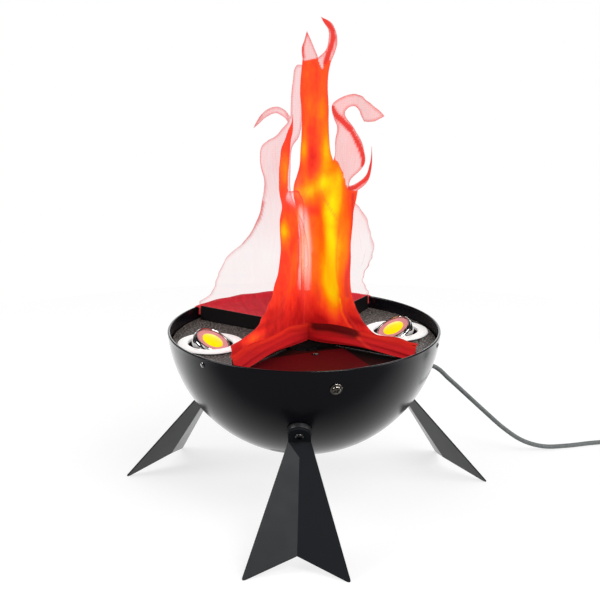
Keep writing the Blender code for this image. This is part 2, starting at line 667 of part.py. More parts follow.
def lamp_profile(seat):
    """Reflector lamp: rim, bowl and neck outside, open reflector inside."""
    top = seat + LAMP_RIM_H
    body = GIMBAL_SEAT_R - GAP
    outer = [(LAMP_RIM_R, top), (LAMP_RIM_R, seat), (body, seat)]
    depth = LAMP_NECK_TOP + seat
    for i in range(1, 4):
        t = i / 3
        outer.append((body + (LAMP_NECK_R - body) * t ** 1.4, seat - depth * t))
    foot = seat - LAMP_LENGTH
    outer += [(LAMP_NECK_R, foot), (0.0, foot)]
    bottom = seat - LAMP_NECK_TOP * 0.86
    inner = [(0.0, bottom), (CAPSULE_R + 0.001, bottom)]
    mouth = LAMP_RIM_R - 0.0012
    for i in range(1, 5):
        t = i / 4
        inner.append((CAPSULE_R + 0.001 + (mouth - CAPSULE_R - 0.001) * t ** 0.62,
                      bottom + (top - bottom) * t))
    return outer + inner


def make_lamp(side, stand):
    """Everything that tilts with one lamp, on an empty at the pivot."""
    pivot = bpy.data.objects.new(f"lamp_pivot_{side}", None)
    LIGHT.objects.link(pivot)
    pivot.parent = stand
    place(pivot, azimuth_vector(LAMP_AZ[side], LAMP_REACH, PLATE_TOP_Z + PIVOT_RISE),
          (LAMP_TILT, 0.0, LAMP_TILT_AZ[side]))
    make_gimbal(side, pivot)
    seat = GIMBAL_SEAT_Z + GAP
    turned(f"lamp_{side}", lamp_profile(seat), LAMP_STEPS, MIRROR_COAT, pivot)
    bottom = seat - LAMP_NECK_TOP * 0.86 + GAP
    turned(f"lamp_capsule_{side}", [
        (0.0, bottom + 0.0115), (CAPSULE_R * 0.6, bottom + 0.0108),
        (CAPSULE_R, bottom + 0.0085), (CAPSULE_R, bottom), (0.0, bottom)],
        12, LAMP_GLASS, pivot, closed=False)
    under = seat + LAMP_RIM_H + GAP
    over = under + FILTER_THICK
    turned(f"lamp_filter_{side}", [(0.0, over), (FILTER_R, over), (FILTER_R, under),
                                   (0.0, under)], LAMP_STEPS, AMBER_FILTER, pivot, closed=False)
    make_lamp_clip(side, over + GAP + CLIP_WIRE_R, pivot)
    socket = mesh_object(f"lamp_socket_{side}", box_bmesh(SOCKET_SIZE, 0.0010), CERAMIC, pivot)
    socket.location.z = seat - LAMP_LENGTH - GAP - SOCKET_SIZE[2] / 2


def make_lamp_clip(side, z, pivot):
    """Open spring ring of wire that holds lamp and filter in the collar."""
    radius = GIMBAL_COLLAR_R - 0.001 - GAP - CLIP_WIRE_R
    curve = bpy.data.curves.new(f"lamp_clip_{side}", "CURVE")
    curve.dimensions = "3D"
    curve.bevel_depth = CLIP_WIRE_R
    curve.bevel_resolution = 1
    curve.use_fill_caps = True
    spline = curve.splines.new("POLY")
    opening = 20.0
    count = 20
    spline.points.add(count - 1)
    for i, point in enumerate(spline.points):
        angle = math.radians(opening / 2 + (360.0 - opening) * i / (count - 1))
        point.co = (radius * math.sin(angle), radius * math.cos(angle), z, 1.0)
    clip = link(f"lamp_clip_{side}", curve, NICKEL, pivot)
    return clip


def make_fan_frame(stand):
    """Square flanges, round tube, motor mount and four struts as one moulding."""
    top = PLATE_UNDER_Z - GAP
    corner = 0.004
    frame = turned("fan_frame", [(FAN_TUBE_R, top - 0.001), (FAN_TUBE_R, top - FAN_DEPTH + 0.001),
                                 (FAN_BORE_R, top - FAN_DEPTH + 0.001),
                                 (FAN_BORE_R, top - 0.001)], FAN_STEPS, FAN_PLASTIC, stand)
    frame.rotation_euler.z = math.radians(INNER_AZ + 45.0)
    foot = top - FAN_DEPTH
    bore = cylinder_bmesh(FAN_BORE_R + 0.0004, foot - 0.001, top + 0.001, FAN_STEPS)
    bore_tool = cutter("fan_bore", bore, frame)
    for level, z in (("top", top - FAN_FLANGE / 2),
                     ("bottom", top - FAN_DEPTH + FAN_FLANGE / 2)):
        bm = box_bmesh((FAN_SIDE, FAN_SIDE, FAN_FLANGE))
        upright = [e for e in bm.edges if abs(e.verts[0].co.z - e.verts[1].co.z) > 0.001]
        bmesh.ops.bevel(bm, geom=upright, offset=corner, segments=2, affect="EDGES",
                        profile=0.5, material=-1)
        flange = cutter(f"fan_flange_{level}", bm, frame)
        flange.location.z = z
        boolean(flange, bore_tool)
        boolean(frame, flange, "UNION")
    motor = cutter("fan_motor", cylinder_bmesh(FAN_HUB_R, foot, foot + FAN_MOTOR_H, 24), frame)
    boolean(frame, motor, "UNION")
    for index in range(4):
        length = FAN_BORE_R - FAN_HUB_R + 0.0025
        bm = box_bmesh((FAN_STRUT_W, length, FAN_FLANGE * 0.8))
        bmesh.ops.translate(bm, verts=bm.verts[:], vec=(0.0, -(FAN_HUB_R + length / 2 - 0.001),
                                                        foot + FAN_FLANGE * 0.4 + 0.0002))
        strut = cutter(f"fan_strut_{index}", bm, frame)
        strut.rotation_euler.z = math.radians(20.0 + 90.0 * index)
        boolean(frame, strut, "UNION")
    shaft = cylinder_bmesh(FAN_SHAFT_R, foot + FAN_MOTOR_H - 0.001,
                           foot + FAN_MOTOR_H + FAN_HUB_H * 0.7, 14)
    boolean(frame, cutter("fan_shaft", shaft, frame), "UNION")
    for index, (x, y) in enumerate(fan_hole_corners()):
        tool = hole_tool(f"fan_hole_{index}", SCREW_HOLE_R, foot - 0.001, top + 0.001, frame, 12)
        tool.location = (x, y, 0.0)
        boolean(frame, tool)
    return frame


def fan_hole_corners():
    half = FAN_HOLE_PITCH / 2
    return [(x * half, y * half) for x in (-1, 1) for y in (-1, 1)]


def fan_blade_bmesh():
    """One pitched blade: a grid bent to a helix, given its thickness."""
    root, tip = FAN_HUB_R - 0.0008, FAN_BORE_R - FAN_TIP_CLEARANCE
    bm = bmesh.new()
    bmesh.ops.create_grid(bm, x_segments=3, y_segments=2, size=0.5)
    for vert in bm.verts:
        along, outward = vert.co.x, vert.co.y + 0.5
        reach = root + (tip - root) * outward
        angle = math.radians(FAN_BLADE_SWEEP * along + 10.0 * outward)
        rise = FAN_BLADE_RISE * along * (1.0 - 0.25 * outward)
        camber = 0.0012 * (1.0 - (2.0 * along) ** 2)
        vert.co = (reach * math.sin(angle), -reach * math.cos(angle), rise + camber)
    bmesh.ops.recalc_face_normals(bm, faces=bm.faces[:])
    bmesh.ops.solidify(bm, geom=bm.faces[:], thickness=FAN_BLADE_THICK)
    bmesh.ops.recalc_face_normals(bm, faces=bm.faces[:])
    return bm


def make_fan_rotor(stand):
    """Hub cup on the shaft with its ring of blades."""
    foot = PLATE_UNDER_Z - GAP - FAN_DEPTH + FAN_MOTOR_H + 2 * GAP
    bore = FAN_SHAFT_R + GAP
    bore_top = foot + FAN_HUB_H * 0.7 + 2 * GAP
    rotor = turned("fan_rotor", [
        (0.0, foot + FAN_HUB_H), (FAN_HUB_R - 0.0015, foot + FAN_HUB_H),
        (FAN_HUB_R, foot + FAN_HUB_H - 0.0015), (FAN_HUB_R, foot),
        (bore, foot), (bore, bore_top), (0.0, bore_top)], FAN_STEPS, FAN_PLASTIC, stand,
        closed=False)
    for index in range(FAN_BLADES):
        blade = cutter(f"fan_blade_{index}", fan_blade_bmesh(), rotor)
        blade.location.z = foot + FAN_HUB_H / 2
        blade.rotation_euler.z = math.radians(360.0 * index / FAN_BLADES)
        boolean(rotor, blade, "UNION")
    return rotor


def make_fan_screws(stand):
    for index, spot in enumerate(fan_screw_spots(), start=1):
        screw = make_screw(f"fan_screw_{index}", 0.011, BLACK_STEEL, stand, head_r=0.0036,
                           head_h=0.0020)
        place(screw, spot + Vector((0.0, 0.0, GAP)))


def make_transformer(stand):
    """Lamp transformer under the rear of the plate, with an ear at each end."""
    length, width, height = TRANSFORMER_SIZE
    body = mesh_object("transformer", box_bmesh(TRANSFORMER_SIZE, 0.0015), HOUSING_PLASTIC,
                       stand)
    top = PLATE_UNDER_Z - GAP
    azimuth = INNER_AZ + 180.0
    place(body, azimuth_vector(azimuth, TRANSFORMER_REACH, top - height / 2),
          (0.0, 0.0, azimuth))
    for side in (-1, 1):
        bm = box_bmesh((TRANSFORMER_EAR + 0.004, width * 0.5, TRANSFORMER_EAR_THICK), 0.0008)
        middle = side * (length / 2 + TRANSFORMER_EAR / 2 - 0.002)
        bmesh.ops.translate(bm, verts=bm.verts[:],
                            vec=(middle, 0.0, (height - TRANSFORMER_EAR_THICK) / 2))
        boolean(body, cutter(f"ear_{side}", bm, body), "UNION")
        tool = hole_tool(f"ear_hole_{side}", SCREW_HOLE_R, 0.0, height, body, 12)
        tool.location.x = side * (length / 2 + TRANSFORMER_EAR / 2)
        boolean(body, tool)
    for index, spot in enumerate(transformer_screw_spots(), start=1):
        screw = make_screw(f"transformer_screw_{index}", 0.0075, NICKEL, stand,
                           head_r=0.0036, head_h=0.0020)
        place(screw, spot + Vector((0.0, 0.0, GAP)))
    return body


def make_terminal_block(stand):
    """Three-way terminal block with its screw wells, near the lead's entry."""
    length, width, height = TERMINAL_SIZE
    block = mesh_object("terminal_block", box_bmesh(TERMINAL_SIZE, 0.0008), HOUSING_PLASTIC,
                        stand)
    place(block, azimuth_vector(TERMINAL_AZ, TERMINAL_REACH,
                                PLATE_UNDER_Z - GAP - height / 2), (0.0, 0.0, TERMINAL_AZ))
    for column in (-1, 0, 1):
        for row in (-1, 1):
            well = hole_tool(f"well_{column}_{row}", 0.0019, -height, -height / 2 + 0.004,
                             block, 10)
            well.location.x = column * length * 0.31
            well.location.y = row * width * 0.27
            boolean(block, well)
    return block


def silk_outline_curve(name, outline):
    """Flat outline as a 2D curve; points marked True are sharp tips."""
    curve = bpy.data.curves.new(name, "CURVE")
    curve.dimensions = "2D"
    curve.fill_mode = "BOTH"
    curve.extrude = SILK / 2
    curve.resolution_u = 2
    spline = curve.splines.new("BEZIER")
    spline.bezier_points.add(len(outline) - 1)
    spline.use_cyclic_u = True
    for point, (reach, height, *sharp) in zip(spline.bezier_points, outline):
        point.co = (reach, height, 0.0)
        kind = "VECTOR" if sharp and sharp[0] else "AUTO"
        point.handle_left_type = point.handle_right_type = kind
    return curve


def slice_mesh(bm, spacing):
    """Cut a flat piece along a square grid, so that it can be draped."""
    for axis in (0, 1):
        values = [vert.co[axis] for vert in bm.verts]
        low, high = min(values), max(values)
        count = int((high - low) / spacing)
        for i in range(1, count + 1):
            spot, normal = Vector(), Vector()
            spot[axis] = low + (high - low) * i / (count + 1)
            normal[axis] = 1.0
            geometry = bm.verts[:] + bm.edges[:] + bm.faces[:]
            bmesh.ops.bisect_plane(bm, geom=geometry, dist=1e-6, plane_co=spot, plane_no=normal)


def make_silk_wing(name, azimuth, outline, folds, material, stand):
    """Upright sheet of silk over one arm, cut to its outline and draped in folds."""
    curve = silk_outline_curve(name, outline)
    wing = curve_to_mesh(link(name, curve, material))
    bm = bmesh.new()
    bm.from_mesh(wing.data)
    bmesh.ops.dissolve_limit(bm, angle_limit=math.radians(1.0), verts=bm.verts[:],
                             edges=[e for e in bm.edges if e.is_manifold and
                                    e.calc_face_angle(1.0) < 0.001])
    slice_mesh(bm, SILK_GRID)
    bmesh.ops.remove_doubles(bm, verts=bm.verts[:], dist=0.0003)
    bmesh.ops.triangulate(bm, faces=bm.faces[:])
    bow, ripple, wave_r, wave_h, phase = folds
    height = max(vert.co.y for vert in bm.verts) / SILK_UNIT
    for vert in bm.verts:
        reach, up = vert.co.x / SILK_UNIT, vert.co.y / SILK_UNIT
        free = smooth(reach, 4.0, 40.0) * smooth(up, 0.0, 60.0)
        wave = ripple * math.sin(math.tau * (reach / wave_r + up / wave_h) + phase)
        lean = bow * math.sin(math.pi * min(up / height, 1.0)) * min(reach / 80.0, 1.0)
        aside = SILK_UNIT * free * (wave + lean)
        vert.co = (aside - vert.co.z, -vert.co.x, SILK_FOOT_Z + vert.co.y)
    bm.to_mesh(wing.data)
    bm.free()
    wing.parent = stand
    wing.rotation_euler.z = math.radians(azimuth)
    return wing


def silk_outlines():
    """Wing outlines: reach from the axis, height over the arm, True at a sharp tip.

    They are drawn in units of 1/314 of the flame's height.
    """
    inner, hem = SILK_AXIS_GAP / SILK_UNIT, SILK_HEM_REACH / SILK_UNIT
    front_left = [
        (inner, 0, True), (hem, 0, True), (hem, 13, True), (107, 15),
        (88, 19), (74, 30), (59, 53), (47, 77), (44, 112),
        (46, 127), (41, 165), (37, 200), (22, 221, True),
        (28, 186), (27.5, 154), (31, 132), (20, 112), (inner, 88, True)]
    front_right = [
        (inner, 0, True), (inner, 273, True), (2, 285), (4, 299, True),
        (11, 285), (18, 275, True), (25.5, 281), (27, 296),
        (20, 314, True), (31, 306), (36.5, 291), (30, 266),
        (27.5, 232), (32.5, 184), (33, 160, True), (41, 184),
        (41.5, 212), (33.5, 228), (40, 237), (55, 241.5), (69, 237),
        (88, 220, True), (67, 215.5, True), (61, 229), (53, 229.5),
        (48, 221), (57, 205), (67, 186), (69, 168, True),
        (73.5, 178), (76, 192, True), (76.5, 170), (70, 153),
        (62, 147, True), (57, 120), (55, 90), (54.5, 45),
        (62, 28), (78, 16.5), (100, 9), (hem, 3.5, True), (hem, 0, True)]
    rear_left = [
        (inner, 0, True), (inner, 266, True), (9, 265), (13, 250),
        (13.5, 216, True), (22, 217.5), (30, 221.5), (40, 220),
        (50, 212), (60, 197, True), (50, 206), (40, 213.5),
        (30, 214), (20, 208, True), (23, 196), (41, 185),
        (52, 173), (47.5, 145), (51, 119), (57, 101), (70, 81),
        (88, 61), (104, 38), (116, 16), (hem, 4, True), (hem, 0, True)]
    rear_right = [
        (inner, 0, True), (inner, 205, True), (18, 196), (36, 160),
        (60, 124), (80, 100), (93, 79), (103, 58), (105, 43),
        (97, 27), (109, 14), (hem, 4, True), (hem, 0, True)]
    outlines = {"front_left": front_left, "front_right": front_right,
                "rear_left": rear_left, "rear_right": rear_right}
    return {side: [(reach * SILK_UNIT, height * SILK_UNIT, *sharp)
                   for reach, height, *sharp in outline]
            for side, outline in outlines.items()}


# Folds of each wing: bow, ripple depth, ripple length outwards and upwards, all in
# the outlines' units, and phase
SILK_FOLDS = {
    "front_left": (6, 4.5, 60, 110, 0.5),
    "front_right": (-4, 5, 45, 140, 2.0),
    "rear_left": (8, 6, 55, 120, 1.2),
    "rear_right": (-26, 5, 60, 100, 0.0),
}


def make_silk(stand):
    """Four wings, the skirts over the front arms and the panel behind."""
    azimuths = dict(zip(("front_right", "rear_right", "rear_left", "front_left"),
                        arm_azimuths()))
    for side, outline in silk_outlines().items():
        tint = ORANGE_SILK if side.startswith("front") else PINK_SILK
        ordered = outline if side == "front_left" else outline[::-1]
        make_silk_wing(f"silk_{side}", azimuths[side], ordered, SILK_FOLDS[side], tint, stand)
    make_skirt("silk_skirt_left", azimuths["front_left"], 1, stand)
    make_skirt("silk_skirt_right", azimuths["front_right"], -1, stand)
    make_rear_panel(stand)


def thicken(obj):
    sheet = obj.modifiers.new("silk", "SOLIDIFY")
    sheet.thickness = SILK
    sheet.offset = 0.0
    return obj


def make_skirt(name, azimuth, side, stand):
    """Edge of the silk that hangs down in front of a front arm."""
    bm = bmesh.new()
    bmesh.ops.create_grid(bm, x_segments=14, y_segments=2, size=0.5)
    start, stop = ARM_REACH * 0.1, ARM_REACH - 0.003
    for vert in bm.verts:
        along, down = vert.co.x + 0.5, vert.co.y + 0.5
        reach = start + (stop - start) * along
        wave = SKIRT_DROP * 0.1 * math.sin(math.tau * along * 3.0) * down
        aside = ARM_THICK / 2 + SILK / 2 + GAP + (SKIRT_FLARE * down ** 1.5 + wave)
        vert.co = (side * aside, -reach, ARM_TOP_Z - SKIRT_DROP * down)
    return thicken(place(mesh_object(name, bm, RED_SILK, stand), (0.0, 0.0, 0.0),
                         (0.0, 0.0, azimuth)))


def make_rear_panel(stand):
    """Silk spread level with the rim between the two rear arms."""
    corner = (ARM_THICK / 2 + GAP) * math.sqrt(2)
    bm = bmesh.new()
    bmesh.ops.create_grid(bm, x_segments=10, y_segments=8, size=0.5)
    for vert in bm.verts:
        across, outward = vert.co.x * 2.0, vert.co.y + 0.5
        reach = PANEL_INNER_REACH + (PANEL_REACH - PANEL_INNER_REACH - corner) * outward
        angle = math.radians(45.0 * across)
        sag = PANEL_SAG * (1.0 - across ** 2) * math.sin(math.pi * outward)
        vert.co = (reach * math.sin(angle), -corner - reach * math.cos(angle),
                   RIM_Z - PANEL_DROP - sag)
    return thicken(place(mesh_object("silk_rear_panel", bm, RED_SILK, stand), (0.0, 0.0, 0.0),
                         (0.0, 0.0, INNER_AZ + 180.0)))


def tube_object(name, points, material, stand, resolution):
    """Round lead along a list of points."""
    curve = bpy.data.curves.new(name, "CURVE")
    curve.dimensions = "3D"
    curve.bevel_depth = CORD_R
    curve.bevel_resolution = resolution
    curve.use_fill_caps = True
    spline = curve.splines.new("POLY")
    spline.points.add(len(points) - 1)
    for point, spot in zip(spline.points, points):
        point.co = (*spot, 1.0)
    return link(name, curve, material, stand)


def smooth_route(points, spacing):
    """Points at an even spacing along a smooth curve through a route's points."""
    padded = [points[0] * 2 - points[1]] + points + [points[-1] * 2 - points[-2]]
    fine = []
    for a, b, c, d in zip(padded, padded[1:], padded[2:], padded[3:]):
        for i in range(40):
            t = i / 40
            fine.append(0.5 * (2 * b + (c - a) * t + (2 * a - 5 * b + 4 * c - d) * t ** 2
                               + (3 * b - a - 3 * c + d) * t ** 3))
    fine.append(points[-1])
    length = sum((q - p).length for p, q in zip(fine, fine[1:]))
    count = round(length / spacing)
    even, walked, target = [fine[0]], 0.0, length / count
    for p, q in zip(fine, fine[1:]):
        step = (q - p).length
        while walked + step >= target * len(even) - 1e-9 and len(even) < count:
            even.append(p + (q - p) * ((target * len(even) - walked) / step))
        walked += step
    return even + [fine[-1]], length


def gland_axis():
    polar = math.radians(bowl_polar(GLAND_Z))
    axis = azimuth_vector(GLAND_AZ, math.sin(polar))
    axis.z = -math.cos(polar)
    return axis


def gland_tip():
    start = Vector((0.0, 0.0, BOWL_CENTRE_Z)) + gland_axis() * BOWL_SPHERE_R
    return start + gland_axis() * (GLAND_LENGTH + GAP)


def make_gland(stand):
    """Tapered strain relief, snapped into the bowl's wall."""
    inside = -(BOWL_WALL + 3 * GAP)
    gland = turned("cord_gland", [
        (0.0, GLAND_LENGTH), (GLAND_TIP_R, GLAND_LENGTH), (GLAND_TIP_R + 0.0008, 0.022),
        (GLAND_TIP_R + 0.0020, 0.006), (GLAND_HEAD_R - 0.0008, 0.0035),
        (GLAND_HEAD_R, 0.0028), (GLAND_HEAD_R, GAP * 2), (GLAND_HOLE_R, GAP * 2),
        (GLAND_HOLE_R, inside), (GLAND_HEAD_R - 0.0012, inside),
        (GLAND_HOLE_R - 0.0006, inside - 0.006), (0.0, inside - 0.006)],
        20, CORD_RUBBER, stand, closed=False)
    return place_on_bowl(gland, GLAND_AZ, GLAND_Z, 0.0)


def coil_points():
    """Loops that spiral in on the floor and out again on top of themselves."""
    turns = COIL_TURNS_PER_LAYER
    half_span = COIL_PITCH * turns / 2
    outer_r, inner_r = COIL_MEAN_R + half_span, COIL_MEAN_R - half_span
    start_angle = math.radians(-90.0)
    low = CORD_R + GAP
    points = []
    count = COIL_POINTS_PER_TURN * turns
    for i in range(2 * count + 1):
        turn = i / COIL_POINTS_PER_TURN
        inward = min(turn, 2 * turns - turn)
        radius = outer_r - (outer_r - inner_r) * inward / turns
        climb = smooth(turn, turns - 0.25, turns + 0.25)
        angle = start_angle + math.tau * turn
        points.append(COIL_CENTRE + Vector((radius * math.cos(angle),
                                            radius * math.sin(angle),
                                            low + COIL_PITCH * climb)))
    first = points[0] + Vector((-2 * CORD_R, 0.0, 0.0))
    last = points[-1] + Vector((COIL_TAIL, 0.0, 0.0))
    return [first] + points + [last]


def least_gap(points, radius):
    """Smallest distance between the sides of stretches that aren't neighbours."""
    reach = 10
    least = math.inf
    for i, p in enumerate(points):
        for q in points[i + reach:]:
            least = min(least, (q - p).length - 2 * radius)
    return least


def cord_route():
    """Free lead: out of the gland, down to the floor and off to the coil."""
    tip, axis = gland_tip(), gland_axis()
    coil_start = coil_points()[0]
    low = coil_start.z
    return [
        tip,
        tip + axis * 0.010,
        Vector((0.1390, 0.1340, 0.1055)),
        Vector((0.1585, 0.1355, 0.0890)),
        Vector((0.1815, 0.1360, 0.0675)),
        Vector((0.2010, 0.1370, 0.0490)),
        Vector((0.2210, 0.1390, 0.0305)),
        Vector((0.2430, 0.1430, 0.0145)),
        Vector((0.2680, 0.1500, 0.0050)),
        Vector((0.2960, 0.1590, low)),
        Vector((0.3260, 0.1690, low)),
        Vector((0.3580, 0.1760, low)),
        coil_start + Vector((-0.020, 0.0, 0.0)),
        coil_start + Vector((-GAP, 0.0, 0.0)),
    ]


def make_cord(stand):
    """Mains lead: the free stretch and the neat coil, with the plug beside it."""
    points, length = smooth_route(cord_route(), CORD_R * 5)
    tube_object("mains_cord", points, CORD_RUBBER, stand, 2)
    loops = coil_points()
    tube_object("cord_coil", loops, CORD_RUBBER, stand, 1)
    coiled = sum((q - p).length for p, q in zip(loops, loops[1:]))
    print(f"free lead {length:.3f} m, coil {coiled:.3f} m, "
          f"least gap {least_gap(loops, CORD_R) * 1000:.2f} mm")
    make_plug(loops[-1] + Vector((GAP, 0.0, 0.0)), stand)


def make_plug(entry, stand):
    """Flat two-pin plug, waisted for the fingers, lying beside the coil."""
    _, length, height = PLUG_SIZE
    outline = [(0.0, 0.30), (0.18, 0.62), (0.42, 0.72), (0.62, 0.66), (0.84, 0.98), (1.0, 0.98)]
    curve = bpy.data.curves.new("plug", "CURVE")
    curve.dimensions = "2D"
    curve.fill_mode = "BOTH"
    curve.extrude = height / 2
    spline = curve.splines.new("POLY")
    half_width = PLUG_PIN_PITCH / 2 + 0.0035
    sides = [(length * t, half_width * w) for t, w in outline]
    ring = sides + [(x, -y) for x, y in reversed(sides)]
    spline.points.add(len(ring) - 1)
    spline.use_cyclic_u = True
    for point, (x, y) in zip(spline.points, ring[::-1]):
        point.co = (x, y, 0.0, 1.0)
    body = curve_to_mesh(link("plug", curve, CORD_RUBBER))
    body.parent = stand
    body.location = entry
    bevel = body.modifiers.new("rounded", "BEVEL")
    bevel.width = 0.0022
    bevel.segments = 2
    bevel.angle_limit = math.radians(50.0)
    for side in (-1, 1):
        along = Matrix.Rotation(math.pi / 2, 4, "Y")
        bm = cylinder_bmesh(PLUG_PIN_R, length - 0.003, length + PLUG_PIN_LENGTH, 12, along)
        bmesh.ops.translate(bm, verts=bm.verts[:], vec=(0.0, side * PLUG_PIN_PITCH / 2, 0.0))
        boolean(body, cutter(f"plug_pin_{side}", bm, body), "UNION")
    return body


def leg_reaches():
    """How far the legs reach to the front and to the rear of the bowl's axis."""
    depsgraph = bpy.context.evaluated_depsgraph_get()
    fronts, rears = [], []
    for name in LEG_NAMES:
        leg = bpy.data.objects[name].evaluated_get(depsgraph)
        depths = [(leg.matrix_world @ vert.co).y for vert in leg.data.vertices]
        fronts.append(min(depths))
        rears.append(max(depths))
    return min(fronts), max(rears)


def make_light():
    stand = bpy.data.objects.new("stand", None)
    LIGHT.objects.link(stand)
    make_bowl(stand)
    make_top_plate(stand)
    make_plate_screws(stand)
    make_rim_rivets(stand)
    make_arm_strip("arm_strip_a", INNER_AZ + 45.0, True, stand)
    make_arm_strip("arm_strip_b", INNER_AZ + 135.0, False, stand)
    for name, azimuth in zip(LEG_NAMES, LEG_AZ):
        make_leg(name, azimuth, stand)
        make_leg_fixings(name, azimuth, stand)
    for side in LAMP_AZ:
        make_lamp_ring(side, stand)
        make_lamp(side, stand)
    make_fan_frame(stand)
    make_fan_rotor(stand)
    make_fan_screws(stand)
    make_transformer(stand)
    make_terminal_block(stand)
    make_silk(stand)
    make_gland(stand)
    make_cord(stand)
    bpy.context.view_layer.update()
    front, rear = leg_reaches()
    stand.location.y = -(front + rear) / 2
    bpy.context.view_layer.update()
    print(f"bowl axis at y = {stand.location.y:.5f} m")


make_light()
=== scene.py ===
"""Looks of the flame effect light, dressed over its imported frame. Metres, +Z up.

Azimuths are in degrees, counted from the front (-Y) towards +X.
"""
import math

import bmesh
import bpy
from mathutils import Matrix, Vector
from mathutils.kdtree import KDTree


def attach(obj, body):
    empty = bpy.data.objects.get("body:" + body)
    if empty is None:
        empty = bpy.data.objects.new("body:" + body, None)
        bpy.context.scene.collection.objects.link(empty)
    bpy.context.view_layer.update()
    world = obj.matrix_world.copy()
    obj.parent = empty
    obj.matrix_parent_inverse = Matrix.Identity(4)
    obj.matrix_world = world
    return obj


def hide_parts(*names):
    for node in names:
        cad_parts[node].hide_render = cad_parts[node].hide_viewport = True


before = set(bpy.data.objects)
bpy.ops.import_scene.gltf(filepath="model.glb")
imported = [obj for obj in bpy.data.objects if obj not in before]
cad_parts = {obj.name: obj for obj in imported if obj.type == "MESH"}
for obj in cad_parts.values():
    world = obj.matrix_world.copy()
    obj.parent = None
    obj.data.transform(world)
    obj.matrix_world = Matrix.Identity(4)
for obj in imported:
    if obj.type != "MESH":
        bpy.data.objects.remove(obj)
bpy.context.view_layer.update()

AXIS = Vector((0.0, 0.02740, 0.0))
GAP = 0.0003
WHITE = (1.0, 1.0, 1.0, 1.0)

BOWL_RIM_R = 0.140
BOWL_DEPTH = 0.129
BOWL_WALL = 0.0012
RIM_Z = 0.1897
BEAD_WIDTH = 0.0026
BEAD_HEIGHT = 0.0032
BASE_FLAT_R = 0.018
BOWL_SPHERE_R = (BOWL_RIM_R ** 2 + BOWL_DEPTH ** 2) / (2 * BOWL_DEPTH)
BOWL_CENTRE = AXIS + Vector((0.0, 0.0, RIM_Z - BOWL_DEPTH + BOWL_SPHERE_R))
VENT_AZ, VENT_POLAR, VENT_PITCH = -17.0, 31.0, 0.0056
VENT_SIZE = (0.021, 0.0022, 0.008)

INNER_AZ = 15.0
PLATE_TOP_Z = RIM_Z - 0.0125
ARM_REACH = 0.130
ARM_THICK = 0.0012
ARM_TOP_Z = PLATE_TOP_Z + GAP + 0.0155
ARM_AZ = {"front_right": 60.0, "rear_right": 150.0, "rear_left": 240.0, "front_left": 330.0}

LEG_AZ = {"leg_front": 0.0, "leg_rear_right": 120.0, "leg_rear_left": 240.0}
LEG_THICK = 0.0015
LEG_SCREW_Z = BOWL_CENTRE.z - BOWL_SPHERE_R * math.cos(math.radians(55.5))
SPACER_HEIGHT = 0.0050
SCREW_R, SCREW_HOLE_R, SCREW_HEAD_R, SCREW_HEAD_HEIGHT = 0.0020, 0.0023, 0.0043, 0.0026
NUT_HEIGHT = 0.0032
PLATE_SCREW_Z = PLATE_TOP_Z - 0.0072
RIVET_AZ, RIVET_Z, RIVET_HOLE_R = -43.0, RIM_Z - 0.0075, 0.0019
FAN_HOLE_PITCH = 0.0715

LAMP_AZ = {"right": 105.0, "left": -75.0}
LAMP_TILT_AZ = {"right": -57.0, "left": 61.0}
LAMP_TILT = 27.0
LAMP_REACH = 0.0975
PIVOT_RISE = 0.0009

CORD_R = 0.0025
GLAND_AZ, GLAND_Z, GLAND_LENGTH, GLAND_HOLE_R = 140.0, 0.135, 0.030, 0.0056
COIL_CENTRE = AXIS + Vector((0.4250, 0.2150, 0.0))
COIL_R, COIL_TURNS = 0.0275, 3


def azimuth_point(azimuth, reach, z=0.0):
    """Point at a reach from the bowl's axis, at an azimuth from the front."""
    angle = math.radians(azimuth)
    return AXIS + Vector((reach * math.sin(angle), -reach * math.cos(angle), z))


def smooth(value, low, high):
    """Smooth step from 0 at low to 1 at high."""
    t = min(max((value - low) / (high - low), 0.0), 1.0)
    return t * t * (3.0 - 2.0 * t)


def turned(angle, axis="Z"):
    return Matrix.Rotation(math.radians(angle), 4, axis)


def lifted(z):
    return Matrix.Translation((0.0, 0.0, z))


def on_bowl(azimuth, z, out):
    """Place square on the bowl's surface, +Z outwards, a distance out from it."""
    polar = math.degrees(math.acos((BOWL_CENTRE.z - z) / BOWL_SPHERE_R))
    turn = turned(azimuth) @ turned(180.0 - polar, "X")
    normal = turn.to_3x3() @ Vector((0.0, 0.0, 1.0))
    return Matrix.Translation(BOWL_CENTRE + normal * (BOWL_SPHERE_R + out)) @ turn


